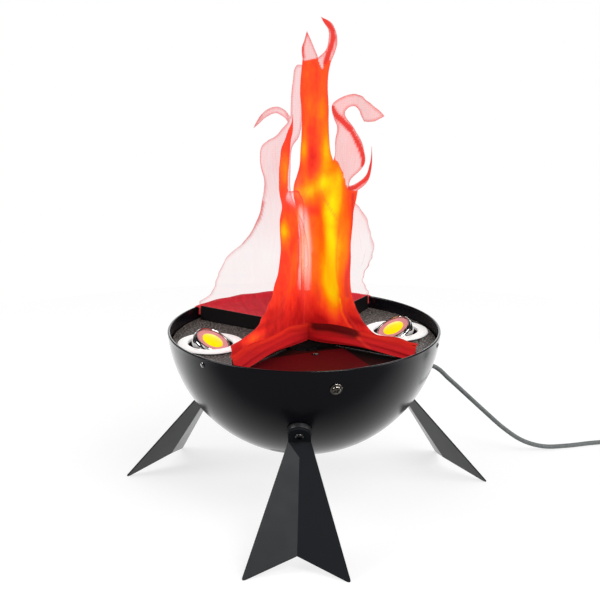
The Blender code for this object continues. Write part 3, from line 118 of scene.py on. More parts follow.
class Nodes:
    """Adds nodes to the tree of a material or of the world."""

    def __init__(self, owner):
        owner.use_nodes = True
        self.tree = owner.node_tree

    def feed(self, socket, value):
        if isinstance(value, bpy.types.NodeSocket):
            self.tree.links.new(value, socket)
        else:
            socket.default_value = value

    def add(self, kind, inputs=None, output=0, **settings):
        """Output of a new node, with inputs given by index or name."""
        node = self.tree.nodes.new("ShaderNode" + kind)
        for name, value in settings.items():
            setattr(node, name, value)
        for key, value in (inputs or {}).items():
            self.feed(node.inputs[key], value)
        return node.outputs[output]

    def math(self, operation, *values, clamp=False):
        return self.add("Math", dict(enumerate(values)), operation=operation, use_clamp=clamp)

    def span(self, factor, low, high, source=(0.0, 1.0)):
        return self.add("MapRange", dict(enumerate((factor, *source, low, high))))

    def mix(self, factor, a, b):
        return self.add("Mix", {0: factor, 6: a, 7: b}, 2, data_type="RGBA")

    def blend(self, factor, a, b):
        return self.add("Mix", {0: factor, 2: a, 3: b})

    def part(self, vector, axis):
        return self.add("SeparateXYZ", {0: vector}, axis)

    def ray(self, kind):
        return self.add("LightPath", output=f"Is {kind} Ray")

    def ramp(self, factor, *stops):
        colours = self.add("ValToRGB", {0: factor}, "Color")
        elements = colours.node.color_ramp.elements
        while len(elements) < len(stops):
            elements.new(0.5)
        for element, (position, colour) in zip(elements, stops):
            element.position = position
            element.color = (*colour, 1.0)
        return colours


class Finish(Nodes):
    """Principled material with procedural detail on its colour, gloss and relief."""

    def __init__(self, name, colour, roughness, metallic=0.0):
        self.material = bpy.data.materials.new(name)
        super().__init__(self.material)
        self.coordinates = self.add("TexCoord", output="Object")
        self.set(Base_Color=(*colour, 1.0), Roughness=roughness, Metallic=metallic)

    def set(self, **values):
        """Feed the shader's sockets, their names written with underscores."""
        for name, value in values.items():
            self.feed(self.tree.nodes["Principled BSDF"].inputs[name.replace("_", " ")], value)
        return self

    def noise(self, scale, detail=3.0, roughness=0.5, stretch=(1.0, 1.0, 1.0)):
        spot = self.add("Mapping", {"Vector": self.coordinates, "Scale": stretch})
        return self.add("TexNoise", {"Vector": spot, "Scale": scale, "Detail": detail,
                                     "Roughness": roughness}, "Fac")

    def weave(self, way):
        return self.add("TexWave", {"Vector": self.coordinates, "Scale": 14.0, "Distortion": 1.8,
                                    "Detail": 2.0, "Detail Scale": 0.6}, "Fac",
                        bands_direction=way)

    def relief(self, height, strength, distance):
        """Small relief on the surface; ends the material."""
        self.set(Normal=self.add("Bump", {"Height": height, "Strength": strength,
                                          "Distance": distance}))
        return self.material

    def grain(self, scale, strength, distance):
        return self.relief(self.noise(scale, 2.0), strength, distance)

    def uneven(self, factor, deeper, colour, ends=(0.3, 0.7)):
        """Colour that drifts between two tones."""
        return self.ramp(factor, (ends[0], deeper), (ends[1], colour))


def dimmed(colour, share):
    return tuple(channel * share for channel in colour)


def satin_paint(name, colour, roughness, grain=2600.0, depth=0.00002, spread=0.06,
                specular=0.5):
    """Sprayed paint: faint orange peel and slightly uneven gloss."""
    finish = Finish(name, colour, roughness)
    gloss = finish.span(finish.noise(60.0), roughness - spread, roughness + spread)
    finish.set(Specular_IOR_Level=specular, Roughness=gloss)
    return finish.grain(grain, 0.25, depth)


def textured_paint():
    """Speckled grey-brown paint of the top plate, with a bare red label in its front sector; the
    rest of that sector is painted black as the silk's shadow.
    """
    finish = Finish("textured_paint", (0.09, 0.08, 0.072), 0.5).set(Specular_IOR_Level=0.15)
    fine = finish.noise(480.0, 4.0, 0.8)
    speckle = finish.ramp(fine, (0.42, (0.010, 0.008, 0.007)), (0.51, (0.050, 0.045, 0.040)),
                          (0.58, (0.42, 0.39, 0.36)))
    paint = finish.mix(finish.span(finish.noise(45.0, 2.0), 0.0, 0.45), speckle,
                       (0.05, 0.044, 0.04, 1.0))
    x = finish.part(finish.coordinates, "X")
    y = finish.math("SUBTRACT", finish.part(finish.coordinates, "Y"), AXIS.y)

    def past(way, source, low=0.0, high=1.0):
        """Change from low to high over a short way out from the bowl's axis."""
        out = finish.math("ADD", *(finish.math("MULTIPLY", a, b) for a, b in zip((x, y), way)))
        return finish.span(out, low, high, source)

    # The front sector between the front arms is painted near black: a painted shadow of the silk
    # over it, round the red label.
    sector = []
    for azimuth in (ARM_AZ["front_left"] + 90.0, ARM_AZ["front_right"] - 90.0):
        angle = math.radians(azimuth)
        sector.append(past((math.sin(angle), -math.cos(angle)), (0.001, 0.004)))
    label_out, label_along = (0.440, -0.898), (0.898, 0.440)
    label = finish.math("MULTIPLY", past(label_out, (0.0425, 0.0432)),
                        past(label_along, (0.024, 0.0247), 1.0, 0.0))
    red = finish.uneven(fine, (0.050, 0.0015, 0.003), (0.10, 0.003, 0.006))
    front_shadow_and_label = finish.mix(label, (0.004, 0.0035, 0.0035, 1.0), red)
    finish.set(Base_Color=finish.mix(finish.math("MULTIPLY", *sector), paint, front_shadow_and_label),
               Roughness=finish.span(fine, 0.62, 0.38))
    return finish.relief(fine, 0.6, 0.00025)


def trim_paint():
    """White paint on the lamp rings with a painted glow that brightens it; inside the opening it is
    painted dark as shade.
    """
    finish = Finish("white_trim", (0.88, 0.88, 0.865), 0.33)
    # Low down, inside the opening, the ring is painted dark: painted shade.
    above = finish.span(finish.part(finish.coordinates, "Z"), 0.0, 1.0,
                        (PLATE_TOP_Z + 0.0008, PLATE_TOP_Z + 0.0016))
    cloud = finish.uneven(finish.noise(90.0), (0.84, 0.84, 0.825), (0.9, 0.9, 0.885))
    colour = finish.mix(above, (0.02, 0.008, 0.008, 1.0), cloud)
    # The emission is a painted glow; the ring is no lamp.
    finish.set(Base_Color=colour, Emission_Color=colour, Emission_Strength=0.22)
    return finish.grain(2200.0, 0.25, 0.00003)


def plated_metal(name, colour, roughness):
    """Plated metal with faint turning marks and smears."""
    finish = Finish(name, colour, roughness, 1.0)
    finish.set(Roughness=finish.span(finish.noise(220.0, 4.0), roughness * 0.6,
                                     roughness * 1.5))
    return finish.grain(900.0, 0.12, 0.00002)


def moulded_plastic(name, colour, roughness, specular=0.5):
    finish = Finish(name, colour, roughness).set(Specular_IOR_Level=specular)
    spread = finish.noise(90.0, 3.0)
    finish.set(Base_Color=finish.uneven(spread, dimmed(colour, 0.82), colour),
               Roughness=finish.span(spread, roughness - 0.05, roughness + 0.08))
    return finish.grain(1800.0, 0.3, 0.00005)


def cord_sheath():
    finish = Finish("cord_sheath", (0.16, 0.175, 0.175), 0.45)
    spread = finish.noise(300.0, 3.0)
    finish.set(Base_Color=finish.uneven(spread, (0.125, 0.138, 0.138), (0.195, 0.21, 0.21),
                                        (0.25, 0.75)),
               Roughness=finish.span(spread, 0.38, 0.56))
    return finish.grain(1400.0, 0.2, 0.00004)


def coloured_glass(name, colour, roughness, alpha, glow=0.0):
    finish = Finish(name, colour, roughness)
    cloud = finish.noise(160.0, 2.0)
    finish.set(Base_Color=finish.uneven(cloud, dimmed(colour, 0.85), colour), Alpha=alpha,
               Coat_Weight=0.6, Coat_Roughness=0.05)
    if glow:
        finish.set(Emission_Color=(*colour, 1.0), Emission_Strength=glow)
    return finish.material


def facetted_mirror():
    """Reflector with the small dimples of a pressed mirror."""
    finish = Finish("facetted_mirror", (0.86, 0.82, 0.70), 0.12, 1.0)
    finish.set(Roughness=finish.span(finish.noise(300.0), 0.06, 0.2))
    cells = finish.add("TexVoronoi", {"Vector": finish.coordinates, "Scale": 420.0}, "Distance")
    return finish.relief(cells, 0.7, 0.0004)


SILK_MARKS = ("lit", "painted_warmth", "fold", "shade")
SHADE_RED = (0.07, 0.001, 0.002, 1.0)
FOLD_RED = (0.66, 0.034, 0.024, 1.0)
WARM_LAMP_LIGHT = (1.0, 0.42, 0.15, 1.0)


def silk_finish(name, sheer_tint, sheer_alpha, glow=0.30, sheen=0.10, mottle=1.0,
                thin_foot=0.36):
    """Sheer silk with painted lamp light. Attributes say where the lamps' light fills it, how warm
    that light is, where painted shade falls and where it lies double; its emission is a painted
    glow.
    """
    finish = Finish(name, sheer_tint, 0.75)
    finish.coordinates = finish.add("UVMap", output="UV", uv_map="cut")
    lit, painted_warmth, fold, shade = (finish.add("Attribute", output="Fac", attribute_name=key)
                              for key in SILK_MARKS)
    streak = finish.noise(24.0, 5.0, 0.6, (1.0, 0.16, 1.0))
    cloud = finish.noise(11.0, 4.0, 0.6, (1.0, 0.55, 1.0))
    warm = finish.math("ADD", painted_warmth, finish.span(streak, -0.07 * mottle, 0.07 * mottle))
    warm = finish.math("ADD", warm, finish.span(cloud, -0.16 * mottle, 0.16 * mottle),
                       clamp=True)
    # Colours of the painted lamp light on the silk, from deep red to yellow.
    flame = finish.ramp(warm, (0.0, (0.46, 0.005, 0.006)), (0.12, (0.70, 0.018, 0.010)),
                        (0.24, (0.90, 0.045, 0.014)), (0.38, (1.0, 0.100, 0.010)),
                        (0.58, (1.0, 0.22, 0.0)), (0.8, (1.0, 0.50, 0.0)),
                        (1.0, (1.0, 0.74, 0.0)))
    pale = finish.uneven(streak, dimmed(sheer_tint, 0.8), sheer_tint)
    # Unlit silk takes the warm colour of the painted lamp light where that light is warm.
    pale = finish.mix(finish.span(painted_warmth, 0.0, 1.0, (0.45, 0.95)), pale, WARM_LAMP_LIGHT)
    colour = finish.mix(lit, pale, flame)
    colour = finish.mix(finish.math("MULTIPLY", fold, 0.9), colour, FOLD_RED)
    colour = finish.mix(shade, colour, SHADE_RED)
    weave = finish.math("MULTIPLY", finish.weave("X"), finish.weave("Y"))
    high = finish.span(finish.part(finish.coordinates, "Y"), thin_foot, 1.0, (0.7, 1.6))
    fade = finish.math("MULTIPLY", finish.span(weave, 0.95, 1.10), high)
    sheer = finish.math("MULTIPLY", fade,
                        finish.span(streak, sheer_alpha * 0.7, sheer_alpha * 1.3))
    alpha = finish.math("ADD", sheer, finish.math("MULTIPLY", lit, 0.97))
    alpha = finish.math("ADD", alpha, finish.math("MULTIPLY", fold, 0.7), clamp=True)
    # The emission is a painted glow of the lamps' light through the silk.
    finish.set(Base_Color=colour, Emission_Color=colour, Emission_Strength=glow, Alpha=alpha,
               Sheen_Weight=sheen, Specular_IOR_Level=0.15)
    return finish.relief(weave, 0.35, 0.0002)


BOWL_PAINT = satin_paint("bowl_paint", (0.0042, 0.0044, 0.0068), 0.20, 1500.0, 0.000006, 0.03)
LEG_PAINT = satin_paint("leg_paint", (0.015, 0.0165, 0.0195), 0.33, 1900.0, 0.00003,
                        specular=0.14)
STRIP_PAINT = satin_paint("strip_paint", (0.006, 0.005, 0.005), 0.5, specular=0.2)
BLACK_STEEL = plated_metal("black_steel", (0.12, 0.12, 0.122), 0.24)
BLACK_CHROME = plated_metal("black_chrome", (0.42, 0.42, 0.43), 0.12)
TEXTURED_PAINT = textured_paint()
WHITE_TRIM = trim_paint()
NICKEL = plated_metal("nickel", (0.66, 0.63, 0.58), 0.26)
ZINC = plated_metal("bright_zinc", (0.40, 0.37, 0.33), 0.15)
CHROME = plated_metal("chrome", (0.78, 0.78, 0.79), 0.08)
MIRROR = facetted_mirror()
CAPSULE_GLASS = coloured_glass("capsule_glass", (0.95, 0.93, 0.85), 0.05, 0.45)
PINK_GLASS = coloured_glass("pink_glass", (0.88, 0.36, 0.37), 0.30, 0.95, 0.12)
YELLOW_GLASS = coloured_glass("yellow_glass", (1.0, 0.78, 0.0), 0.12, 1.0, 0.45)
CERAMIC = moulded_plastic("ceramic", (0.72, 0.69, 0.62), 0.6)
FAN_PLASTIC = moulded_plastic("fan_plastic", (0.004, 0.004, 0.0045), 0.6, 0.08)
HOUSING_PLASTIC = moulded_plastic("housing_plastic", (0.62, 0.62, 0.60), 0.45)
SPACER_PLASTIC = moulded_plastic("spacer_plastic", (0.016, 0.016, 0.018), 0.35)
CORD_SHEATH = cord_sheath()
GLAND_RUBBER = moulded_plastic("gland_rubber", (0.020, 0.021, 0.022), 0.5)
PLUG_PLASTIC = moulded_plastic("plug_plastic", (0.15, 0.165, 0.165), 0.42)
# The silks' emission is a painted glow that stands in for the lamps' light on them.
SILK = silk_finish("silk", (0.84, 0.11, 0.10), 0.48, sheen=0.04)
SHEER_SILK = silk_finish("sheer_silk", (0.80, 0.06, 0.075), 0.36)
RED_SILK = silk_finish("red_silk", (0.42, 0.006, 0.012), 0.95, 0.10, 0.0, 0.5, 1.0)
PANEL_SILK = silk_finish("panel_silk", (0.56, 0.012, 0.024), 0.97, 0.22, 0.0, thin_foot=1.0)
HEM_SILK = silk_finish("hem_silk", (0.80, 0.10, 0.11), 0.50)


def shown(name, data):
    """New object in the scene."""
    obj = bpy.data.objects.new(name, data)
    bpy.context.scene.collection.objects.link(obj)
    return obj


def mesh_from(bm, name):
    mesh = bpy.data.meshes.new(name)
    bm.to_mesh(mesh)
    bm.free()
    return mesh


def ride_and_replace(obj, body, nodes):
    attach(obj, body)
    if nodes:
        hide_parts(*nodes)
    return obj


def shade_smooth(mesh, angle):
    mesh.shade_smooth()
    mesh.set_sharp_from_angle(angle=math.radians(angle))


def placed(bm, place):
    bmesh.ops.transform(bm, matrix=place, verts=bm.verts[:])
    return bm


def piece(name, bm, material, body="base", nodes=(), place=None, angle=35.0):
    """New piece from a bmesh in its own place: placed, shaded smooth and set riding."""
    if place:
        placed(bm, place)
    mesh = mesh_from(bm, name)
    mesh.materials.append(material)
    shade_smooth(mesh, angle)
    return ride_and_replace(shown(name, mesh), body, nodes)


def edge_round(radius, top, turn, steps, inner=False):
    """Rounded upper edge of a profile, read outwards and down, or inwards and up."""
    way = -1 if inner else 1
    angles = [math.radians(90.0 * i / steps) for i in range(steps + 1)][::way]
    return [(radius - way * turn + way * turn * math.sin(a), top - turn + turn * math.cos(a))
            for a in angles]


def spun(profile, steps=96):
    """Turned shape: a profile of (radius, height), spun about the Z axis."""
    bm = bmesh.new()
    ring = [bm.verts.new((radius, 0.0, height)) for radius, height in profile]
    pairs = list(zip(ring, ring[1:])) + [(ring[-1], ring[0])]
    edges = [bm.edges.new(pair) for pair in pairs if pair[0].co.x > 0.0 or pair[1].co.x > 0.0]
    bmesh.ops.spin(bm, geom=ring + edges, axis=(0.0, 0.0, 1.0), cent=(0.0, 0.0, 0.0),
                   steps=steps, angle=math.tau, use_merge=True)
    bmesh.ops.remove_doubles(bm, verts=bm.verts[:], dist=0.000002)
    bmesh.ops.recalc_face_normals(bm, faces=bm.faces[:])
    return bm


def block(size):
    bm = bmesh.new()
    bmesh.ops.create_cube(bm, size=1.0, matrix=Matrix.Diagonal((*size, 1.0)))
    return bm


def rod(radius, low, high, segments=24, place=Matrix(), bm=None):
    """Round rod along Z, in a bmesh of its own or added to one."""
    bm = bm or bmesh.new()
    bmesh.ops.create_cone(bm, cap_ends=True, segments=segments, radius1=radius,
                          radius2=radius, depth=high - low,
                          matrix=place @ lifted((low + high) / 2))
    return bm


def cut(obj, tools, operation="DIFFERENCE"):
    """Cut a piece with bmesh tools, and keep the result as its mesh."""
    blades = [shown("tool", mesh_from(bm, "tool")) for bm in tools]
    for blade in blades:
        modifier = obj.modifiers.new("cut", "BOOLEAN")
        modifier.operation = operation
        modifier.object = blade
    depsgraph = bpy.context.evaluated_depsgraph_get()
    mesh = bpy.data.meshes.new_from_object(obj.evaluated_get(depsgraph))
    obj.modifiers.clear()
    obj.data = mesh
    for blade in blades:
        bpy.data.objects.remove(blade, do_unlink=True)
    shade_smooth(mesh, 30.0)


def dressed(node, material, body="base", bevel=0.0002, angle=30.0):
    """The CAD's own shape, merged, with softened edges and a finish."""
    bm = bmesh.new()
    bm.from_mesh(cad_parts[node].data)
    bmesh.ops.remove_doubles(bm, verts=bm.verts[:], dist=0.000005)
    bmesh.ops.dissolve_limit(bm, angle_limit=math.radians(0.6), verts=bm.verts[:],
                             edges=bm.edges[:])
    obj = piece(f"{node}_dressed", bm, material, body, [node], angle=angle)
    if bevel:
        edge = obj.modifiers.new("softened", "BEVEL")
        edge.width = bevel
        edge.segments = 2
        edge.limit_method = "ANGLE"
        edge.angle_limit = math.radians(angle)
        edge.use_clamp_overlap = True
        edge.harden_normals = True


def make_camera():
    """Camera fitted to the photograph."""
    data = bpy.data.cameras.new("camera")
    data.sensor_width = 36.0
    data.lens = 97.556
    camera = shown("camera", data)
    camera.location = AXIS + Vector((0.05956, -1.59573, 0.68361))
    camera.rotation_euler = (math.radians(90.0 - 16.209), 0.0, math.radians(2.29))
    bpy.context.scene.camera = camera


def coil_points():
    """Loops that spiral in on the floor and out again on top of themselves."""
    per_turn, pitch = 24, 2 * CORD_R + 0.0006
    outer_r, inner_r = COIL_R + pitch * COIL_TURNS / 2, COIL_R - pitch * COIL_TURNS / 2
    points = []
    for i in range(2 * per_turn * COIL_TURNS + 1):
        turn = i / per_turn
        inward = min(turn, 2 * COIL_TURNS - turn)
        radius = outer_r - (outer_r - inner_r) * inward / COIL_TURNS
        climb = smooth(turn, COIL_TURNS - 0.25, COIL_TURNS + 0.25)
        angle = math.radians(-90.0) + math.tau * turn
        points.append(COIL_CENTRE + Vector((radius * math.cos(angle),
                                            radius * math.sin(angle),
                                            CORD_R + GAP + pitch * climb)))
    return points + [points[-1] + Vector((0.029, 0.0, 0.0))]


def smooth_route(points, spacing):
    """Points at an even spacing along a smooth curve through a route's points."""
    padded = [points[0] * 2 - points[1]] + points + [points[-1] * 2 - points[-2]]
    fine, parts = [], 40
    for a, b, c, d in zip(padded, padded[1:], padded[2:], padded[3:]):
        for i in range(parts):
            t = i / parts
            fine.append(0.5 * (2 * b + (c - a) * t + (2 * a - 5 * b + 4 * c - d) * t ** 2
                               + (3 * b - a - 3 * c + d) * t ** 3))
    fine.append(points[-1])
    length = sum((q - p).length for p, q in zip(fine, fine[1:]))
    count = round(length / spacing)
    even, walked, target = [fine[0]], 0.0, length / count
    for p, q in zip(fine, fine[1:]):
        step = (q - p).length
        while walked + step >= target * len(even) - 1e-9 and len(even) < count:
            even.append(p + (q - p) * ((target * len(even) - walked) / step))
        walked += step
    return even + [fine[-1]]


def tube(name, points, radius, resolution, material, closed=False):
    """Round strand through a line of points."""
    curve = bpy.data.curves.new(name, "CURVE")
    curve.dimensions = "3D"
    curve.bevel_depth = radius
    curve.bevel_resolution = resolution
    curve.use_fill_caps = not closed
    curve.materials.append(material)
    spline = curve.splines.new("POLY")
    spline.points.add(len(points) - 1)
    spline.use_cyclic_u = closed
    spline.use_smooth = True
    for point, spot in zip(spline.points, points):
        point.co = (*spot, 1.0)
    return shown(name, curve)


def make_cord():
    """Mains lead from the gland to the floor, off to the side, coiled, to its plug."""
    polar = math.acos((BOWL_CENTRE.z - GLAND_Z) / BOWL_SPHERE_R)
    angle = math.radians(GLAND_AZ)
    axis = Vector((math.sin(polar) * math.sin(angle), -math.sin(polar) * math.cos(angle),
                   -math.cos(polar)))
    tip = BOWL_CENTRE + axis * (BOWL_SPHERE_R + GLAND_LENGTH + GAP)
    loops = coil_points()
    low = CORD_R + GAP
    route = [(0.1390, 0.1340, 0.1055), (0.1585, 0.1355, 0.0890), (0.1815, 0.1360, 0.0675),
             (0.2010, 0.1370, 0.0490), (0.2210, 0.1390, 0.0305), (0.2430, 0.1430, 0.0145),
             (0.2680, 0.1500, 0.0050), (0.2960, 0.1590, low), (0.3260, 0.1690, low),
             (0.3580, 0.1760, low)]
    free = [tip, tip + axis * 0.010] + [AXIS + Vector(spot) for spot in route]
    free += [loops[0] - Vector((ahead, 0.0, 0.0)) for ahead in (0.025, 0.005)]
    points = smooth_route(free, 0.006) + loops
    lead = tube("mains_lead", points, CORD_R, 6, CORD_SHEATH)
    ride_and_replace(lead, "base", ["mains_cord", "cord_coil"])
    plug, pins = make_plug(loops[-1] + Vector((GAP, 0.0, 0.0)))


def make_plug(entry):
    """Flat two-pin plug, waisted for the fingers, with sleeved pins."""
    length, half_width, height, pin_half_pitch = 0.034, 0.0128, 0.0145, 0.0093
    outline = [(0.0, 0.30), (0.06, 0.44), (0.18, 0.62), (0.30, 0.71), (0.42, 0.72),
               (0.54, 0.68), (0.62, 0.68), (0.72, 0.80), (0.84, 0.96), (1.0, 0.98)]
    bm = bmesh.new()
    ring = [(x * length, -y * half_width) for x, y in outline]
    ring += [(x, -y) for x, y in reversed(ring)]
    base = bm.faces.new([bm.verts.new((x, y, -height / 2)) for x, y in ring])
    top = bmesh.ops.extrude_face_region(bm, geom=[base])["geom"]
    bmesh.ops.translate(bm, verts=[v for v in top if isinstance(v, bmesh.types.BMVert)],
                        vec=(0.0, 0.0, height))
    bmesh.ops.recalc_face_normals(bm, faces=bm.faces[:])
    level = [e for e in bm.edges if abs(e.verts[0].co.z - e.verts[1].co.z) < 1e-6]
    bmesh.ops.bevel(bm, geom=level, offset=0.0026, segments=4, affect="EDGES",
                    profile=0.5, material=-1)
    place = Matrix.Translation(entry)
    plug = piece("plug_body", bm, PLUG_PLASTIC, nodes=["plug"],
                 place=place)
    pins = bmesh.new()
    for side in (-1, 1):
        across = Matrix.Translation((length, side * pin_half_pitch, 0.0)) @ turned(90.0, "Y")
        for radius, low, high in ((0.0020, -0.002, 0.010), (0.00195, 0.0102, 0.0188)):
            rod(radius, low, high, 24, across, pins)
    return plug, piece("plug_pins", pins, NICKEL, place=place)


def arc(radius, start, stop, count=44):
    """Points of the bowl's wall between two polar angles from straight down."""
    for i in range(count + 1):
        polar = start + (stop - start) * i / count
        yield (radius * math.sin(polar), BOWL_CENTRE.z - radius * math.cos(polar))


def make_bowl():
    """Spun bowl with a beaded rim, its air slots and its holes."""
    rim = math.acos((BOWL_CENTRE.z - RIM_Z) / BOWL_SPHERE_R)
    base = math.asin(BASE_FLAT_R / BOWL_SPHERE_R)
    bead_foot = RIM_Z - BEAD_HEIGHT
    inner_r = BOWL_SPHERE_R - BOWL_WALL
    inner_stop = math.acos((BOWL_CENTRE.z - bead_foot) / inner_r)
    bead_in = BOWL_RIM_R - BEAD_WIDTH
    turn = BEAD_WIDTH * 0.42
    outer = list(arc(BOWL_SPHERE_R, rim - 0.012, base))
    inner = list(arc(inner_r, base, inner_stop))
    profile = (edge_round(BOWL_RIM_R, RIM_Z, turn, 5) + outer
               + [(0.0, outer[-1][1]), (0.0, inner[0][1])] + inner + [(bead_in, bead_foot)]
               + edge_round(bead_in, RIM_Z, turn, 5, inner=True))
    bm = placed(spun(profile, 180), Matrix.Translation(AXIS))
    bowl = piece("bowl_spun", bm, BOWL_PAINT, nodes=["bowl"])
    vent_z = BOWL_CENTRE.z - BOWL_SPHERE_R * math.cos(math.radians(VENT_POLAR))
    tools = []
    for index in range(5):
        for side in (-0.5, 0.5):
            slot = placed(block(VENT_SIZE),
                          Matrix.Translation((0.0, side * VENT_PITCH, 0.0)))
            tools.append(placed(slot, on_bowl(VENT_AZ + 72.0 * index, vent_z, 0.0)))
    holes = [(azimuth, LEG_SCREW_Z, SCREW_HOLE_R) for azimuth in LEG_AZ.values()]
    holes += [(INNER_AZ + 120.0 * i, PLATE_SCREW_Z, SCREW_HOLE_R) for i in range(3)]
    holes += [(RIVET_AZ + 120.0 * i, RIVET_Z, RIVET_HOLE_R) for i in range(3)]
    holes.append((GLAND_AZ, GLAND_Z, GLAND_HOLE_R))
    tools += [rod(radius, -0.004, 0.004, 20, on_bowl(azimuth, z, 0.0))
              for azimuth, z, radius in holes]
    cut(bowl, tools)


def pan_screw(name, node, material, place, length, seat=0.0, radius=SCREW_HEAD_R,
              height=SCREW_HEAD_HEIGHT, steps=48):
    """Domed screw head over a plain shank, on a washer where its seat isn't zero."""
    dome = [(0.0, height), (radius * 0.45, height * 0.97), (radius * 0.74, height * 0.84),
            (radius * 0.92, height * 0.60), (radius, height * 0.30), (radius, 0.0)]
    dome = [(r, seat + z) for r, z in dome]
    washer = [(0.0058, seat), (0.0060, seat - 0.0002), (0.0060, 0.0002), (0.0058, 0.0)]
    profile = (dome + (washer if seat else [])
               + [(SCREW_R, 0.0), (SCREW_R, -length), (0.0, -length)])
    return piece(name, spun(profile, steps), material, nodes=[node], place=place)


def cut_cross(screw, place, depth, width, size):
    """Cross recess in a screw's head, its arms centred on a place."""
    cut(screw, [placed(placed(block((size, width, depth * 2)), turned(turn)), place)
                for turn in (20.0, 110.0)])


def make_fixings():
    """Screws, washers, rivets, spacers and nuts of the bowl."""
    rivet = [(0.0, 0.0010), (0.0013, 0.00092), (0.0022, 0.0006), (0.0027, 0.0002),
             (0.0027, 0.0), (0.0016, 0.0), (0.0016, -0.0021), (0.0023, -0.0021),
             (0.0023, -0.0029), (0.0, -0.0035)]
    spacer = [(0.0120, SPACER_HEIGHT), (0.0124, 0.0048), (0.0125, 0.0044), (0.0125, 0.0),
              (SCREW_HOLE_R, 0.0), (SCREW_HOLE_R, SPACER_HEIGHT)]
    for index in range(3):
        place = on_bowl(INNER_AZ + 120.0 * index, PLATE_SCREW_Z, GAP)
        screw = pan_screw(f"bright_screw_{index + 1}", f"plate_screw_{index + 1}", ZINC,
                          place, 0.0085, seat=0.0010)
        cut_cross(screw, place @ lifted(0.0036), 0.0020, 0.0014, 0.0054)
        piece(f"black_rivet_{index + 1}", spun(rivet, 32), BLACK_CHROME,
              nodes=[f"rim_rivet_{index + 1}"],
              place=on_bowl(RIVET_AZ + 120.0 * index, RIVET_Z, GAP))
    seat = SPACER_HEIGHT + LEG_THICK + 3 * GAP
    length = seat + BOWL_WALL + 3 * GAP + NUT_HEIGHT + 0.0012
    for name, azimuth in LEG_AZ.items():
        piece(f"{name}_disc", spun(spacer, 64), SPACER_PLASTIC, nodes=[f"{name}_spacer"],
              place=on_bowl(azimuth, LEG_SCREW_Z, GAP))
        place = on_bowl(azimuth, LEG_SCREW_Z, seat)
        bolt = pan_screw(f"{name}_bolt", f"{name}_screw", BLACK_STEEL, place,
                         length)
        cut(bolt, [rod(0.0014, 0.0012, 0.004, 6, place)])
        dressed(f"{name}_nut", NICKEL)
        dressed(name, LEG_PAINT, bevel=0.0003, angle=12.0)


def make_deck():
    """Top plate, cross, fan and the mains parts, on the CAD's own shapes."""
    dressed("top_plate", TEXTURED_PAINT)
    for name in ("arm_strip_a", "arm_strip_b"):
        dressed(name, STRIP_PAINT, bevel=0.00025)
    dressed("fan_frame", FAN_PLASTIC)
    dressed("fan_rotor", FAN_PLASTIC, "fan_wheel")
    for index in range(4):
        place = Matrix.Translation(azimuth_point(
            INNER_AZ + 90.0 * index, FAN_HOLE_PITCH / math.sqrt(2), PLATE_TOP_Z + GAP))
        screw = pan_screw(f"fan_bolt_{index + 1}", f"fan_screw_{index + 1}", BLACK_STEEL,
                          place, 0.011, 0.0, 0.0036, 0.0020, 40)
        cut_cross(screw, place @ lifted(0.0020), 0.0013, 0.0008, 0.0040)
    for name in ("transformer", "terminal_block"):
        dressed(name, HOUSING_PLASTIC, bevel=0.0)
    for index in (1, 2):
        dressed(f"transformer_screw_{index}", NICKEL, bevel=0.0)


def make_trim_ring(side, level):
    """Fixed white ring with its barrel, drilled for the pivot pins."""
    opening, outer, barrel, inner = 0.023, 0.034, 0.0292, 0.0278
    top, lower, barrel_foot, ledge = 0.0037, 0.0020, -0.012, -0.0015
    profile = edge_round(outer, top, 0.0016, 6)
    profile += [(outer, lower), (outer - 0.0025, lower), (outer - 0.0025, GAP),
                (barrel, GAP), (barrel, barrel_foot), (inner, barrel_foot),
                (inner, ledge), (opening, ledge)]
    profile += edge_round(opening, top, 0.0011, 5, inner=True)
    ring = piece(f"trim_ring_{side}", spun(profile, 128), WHITE_TRIM,
                 nodes=[f"lamp_ring_{side}"], place=level)
    across = level @ turned(LAMP_TILT_AZ[side]) @ lifted(PIVOT_RISE) @ turned(90.0, "Y")
    cut(ring, [rod(0.0015, -0.0265, 0.0265, 24, across)])


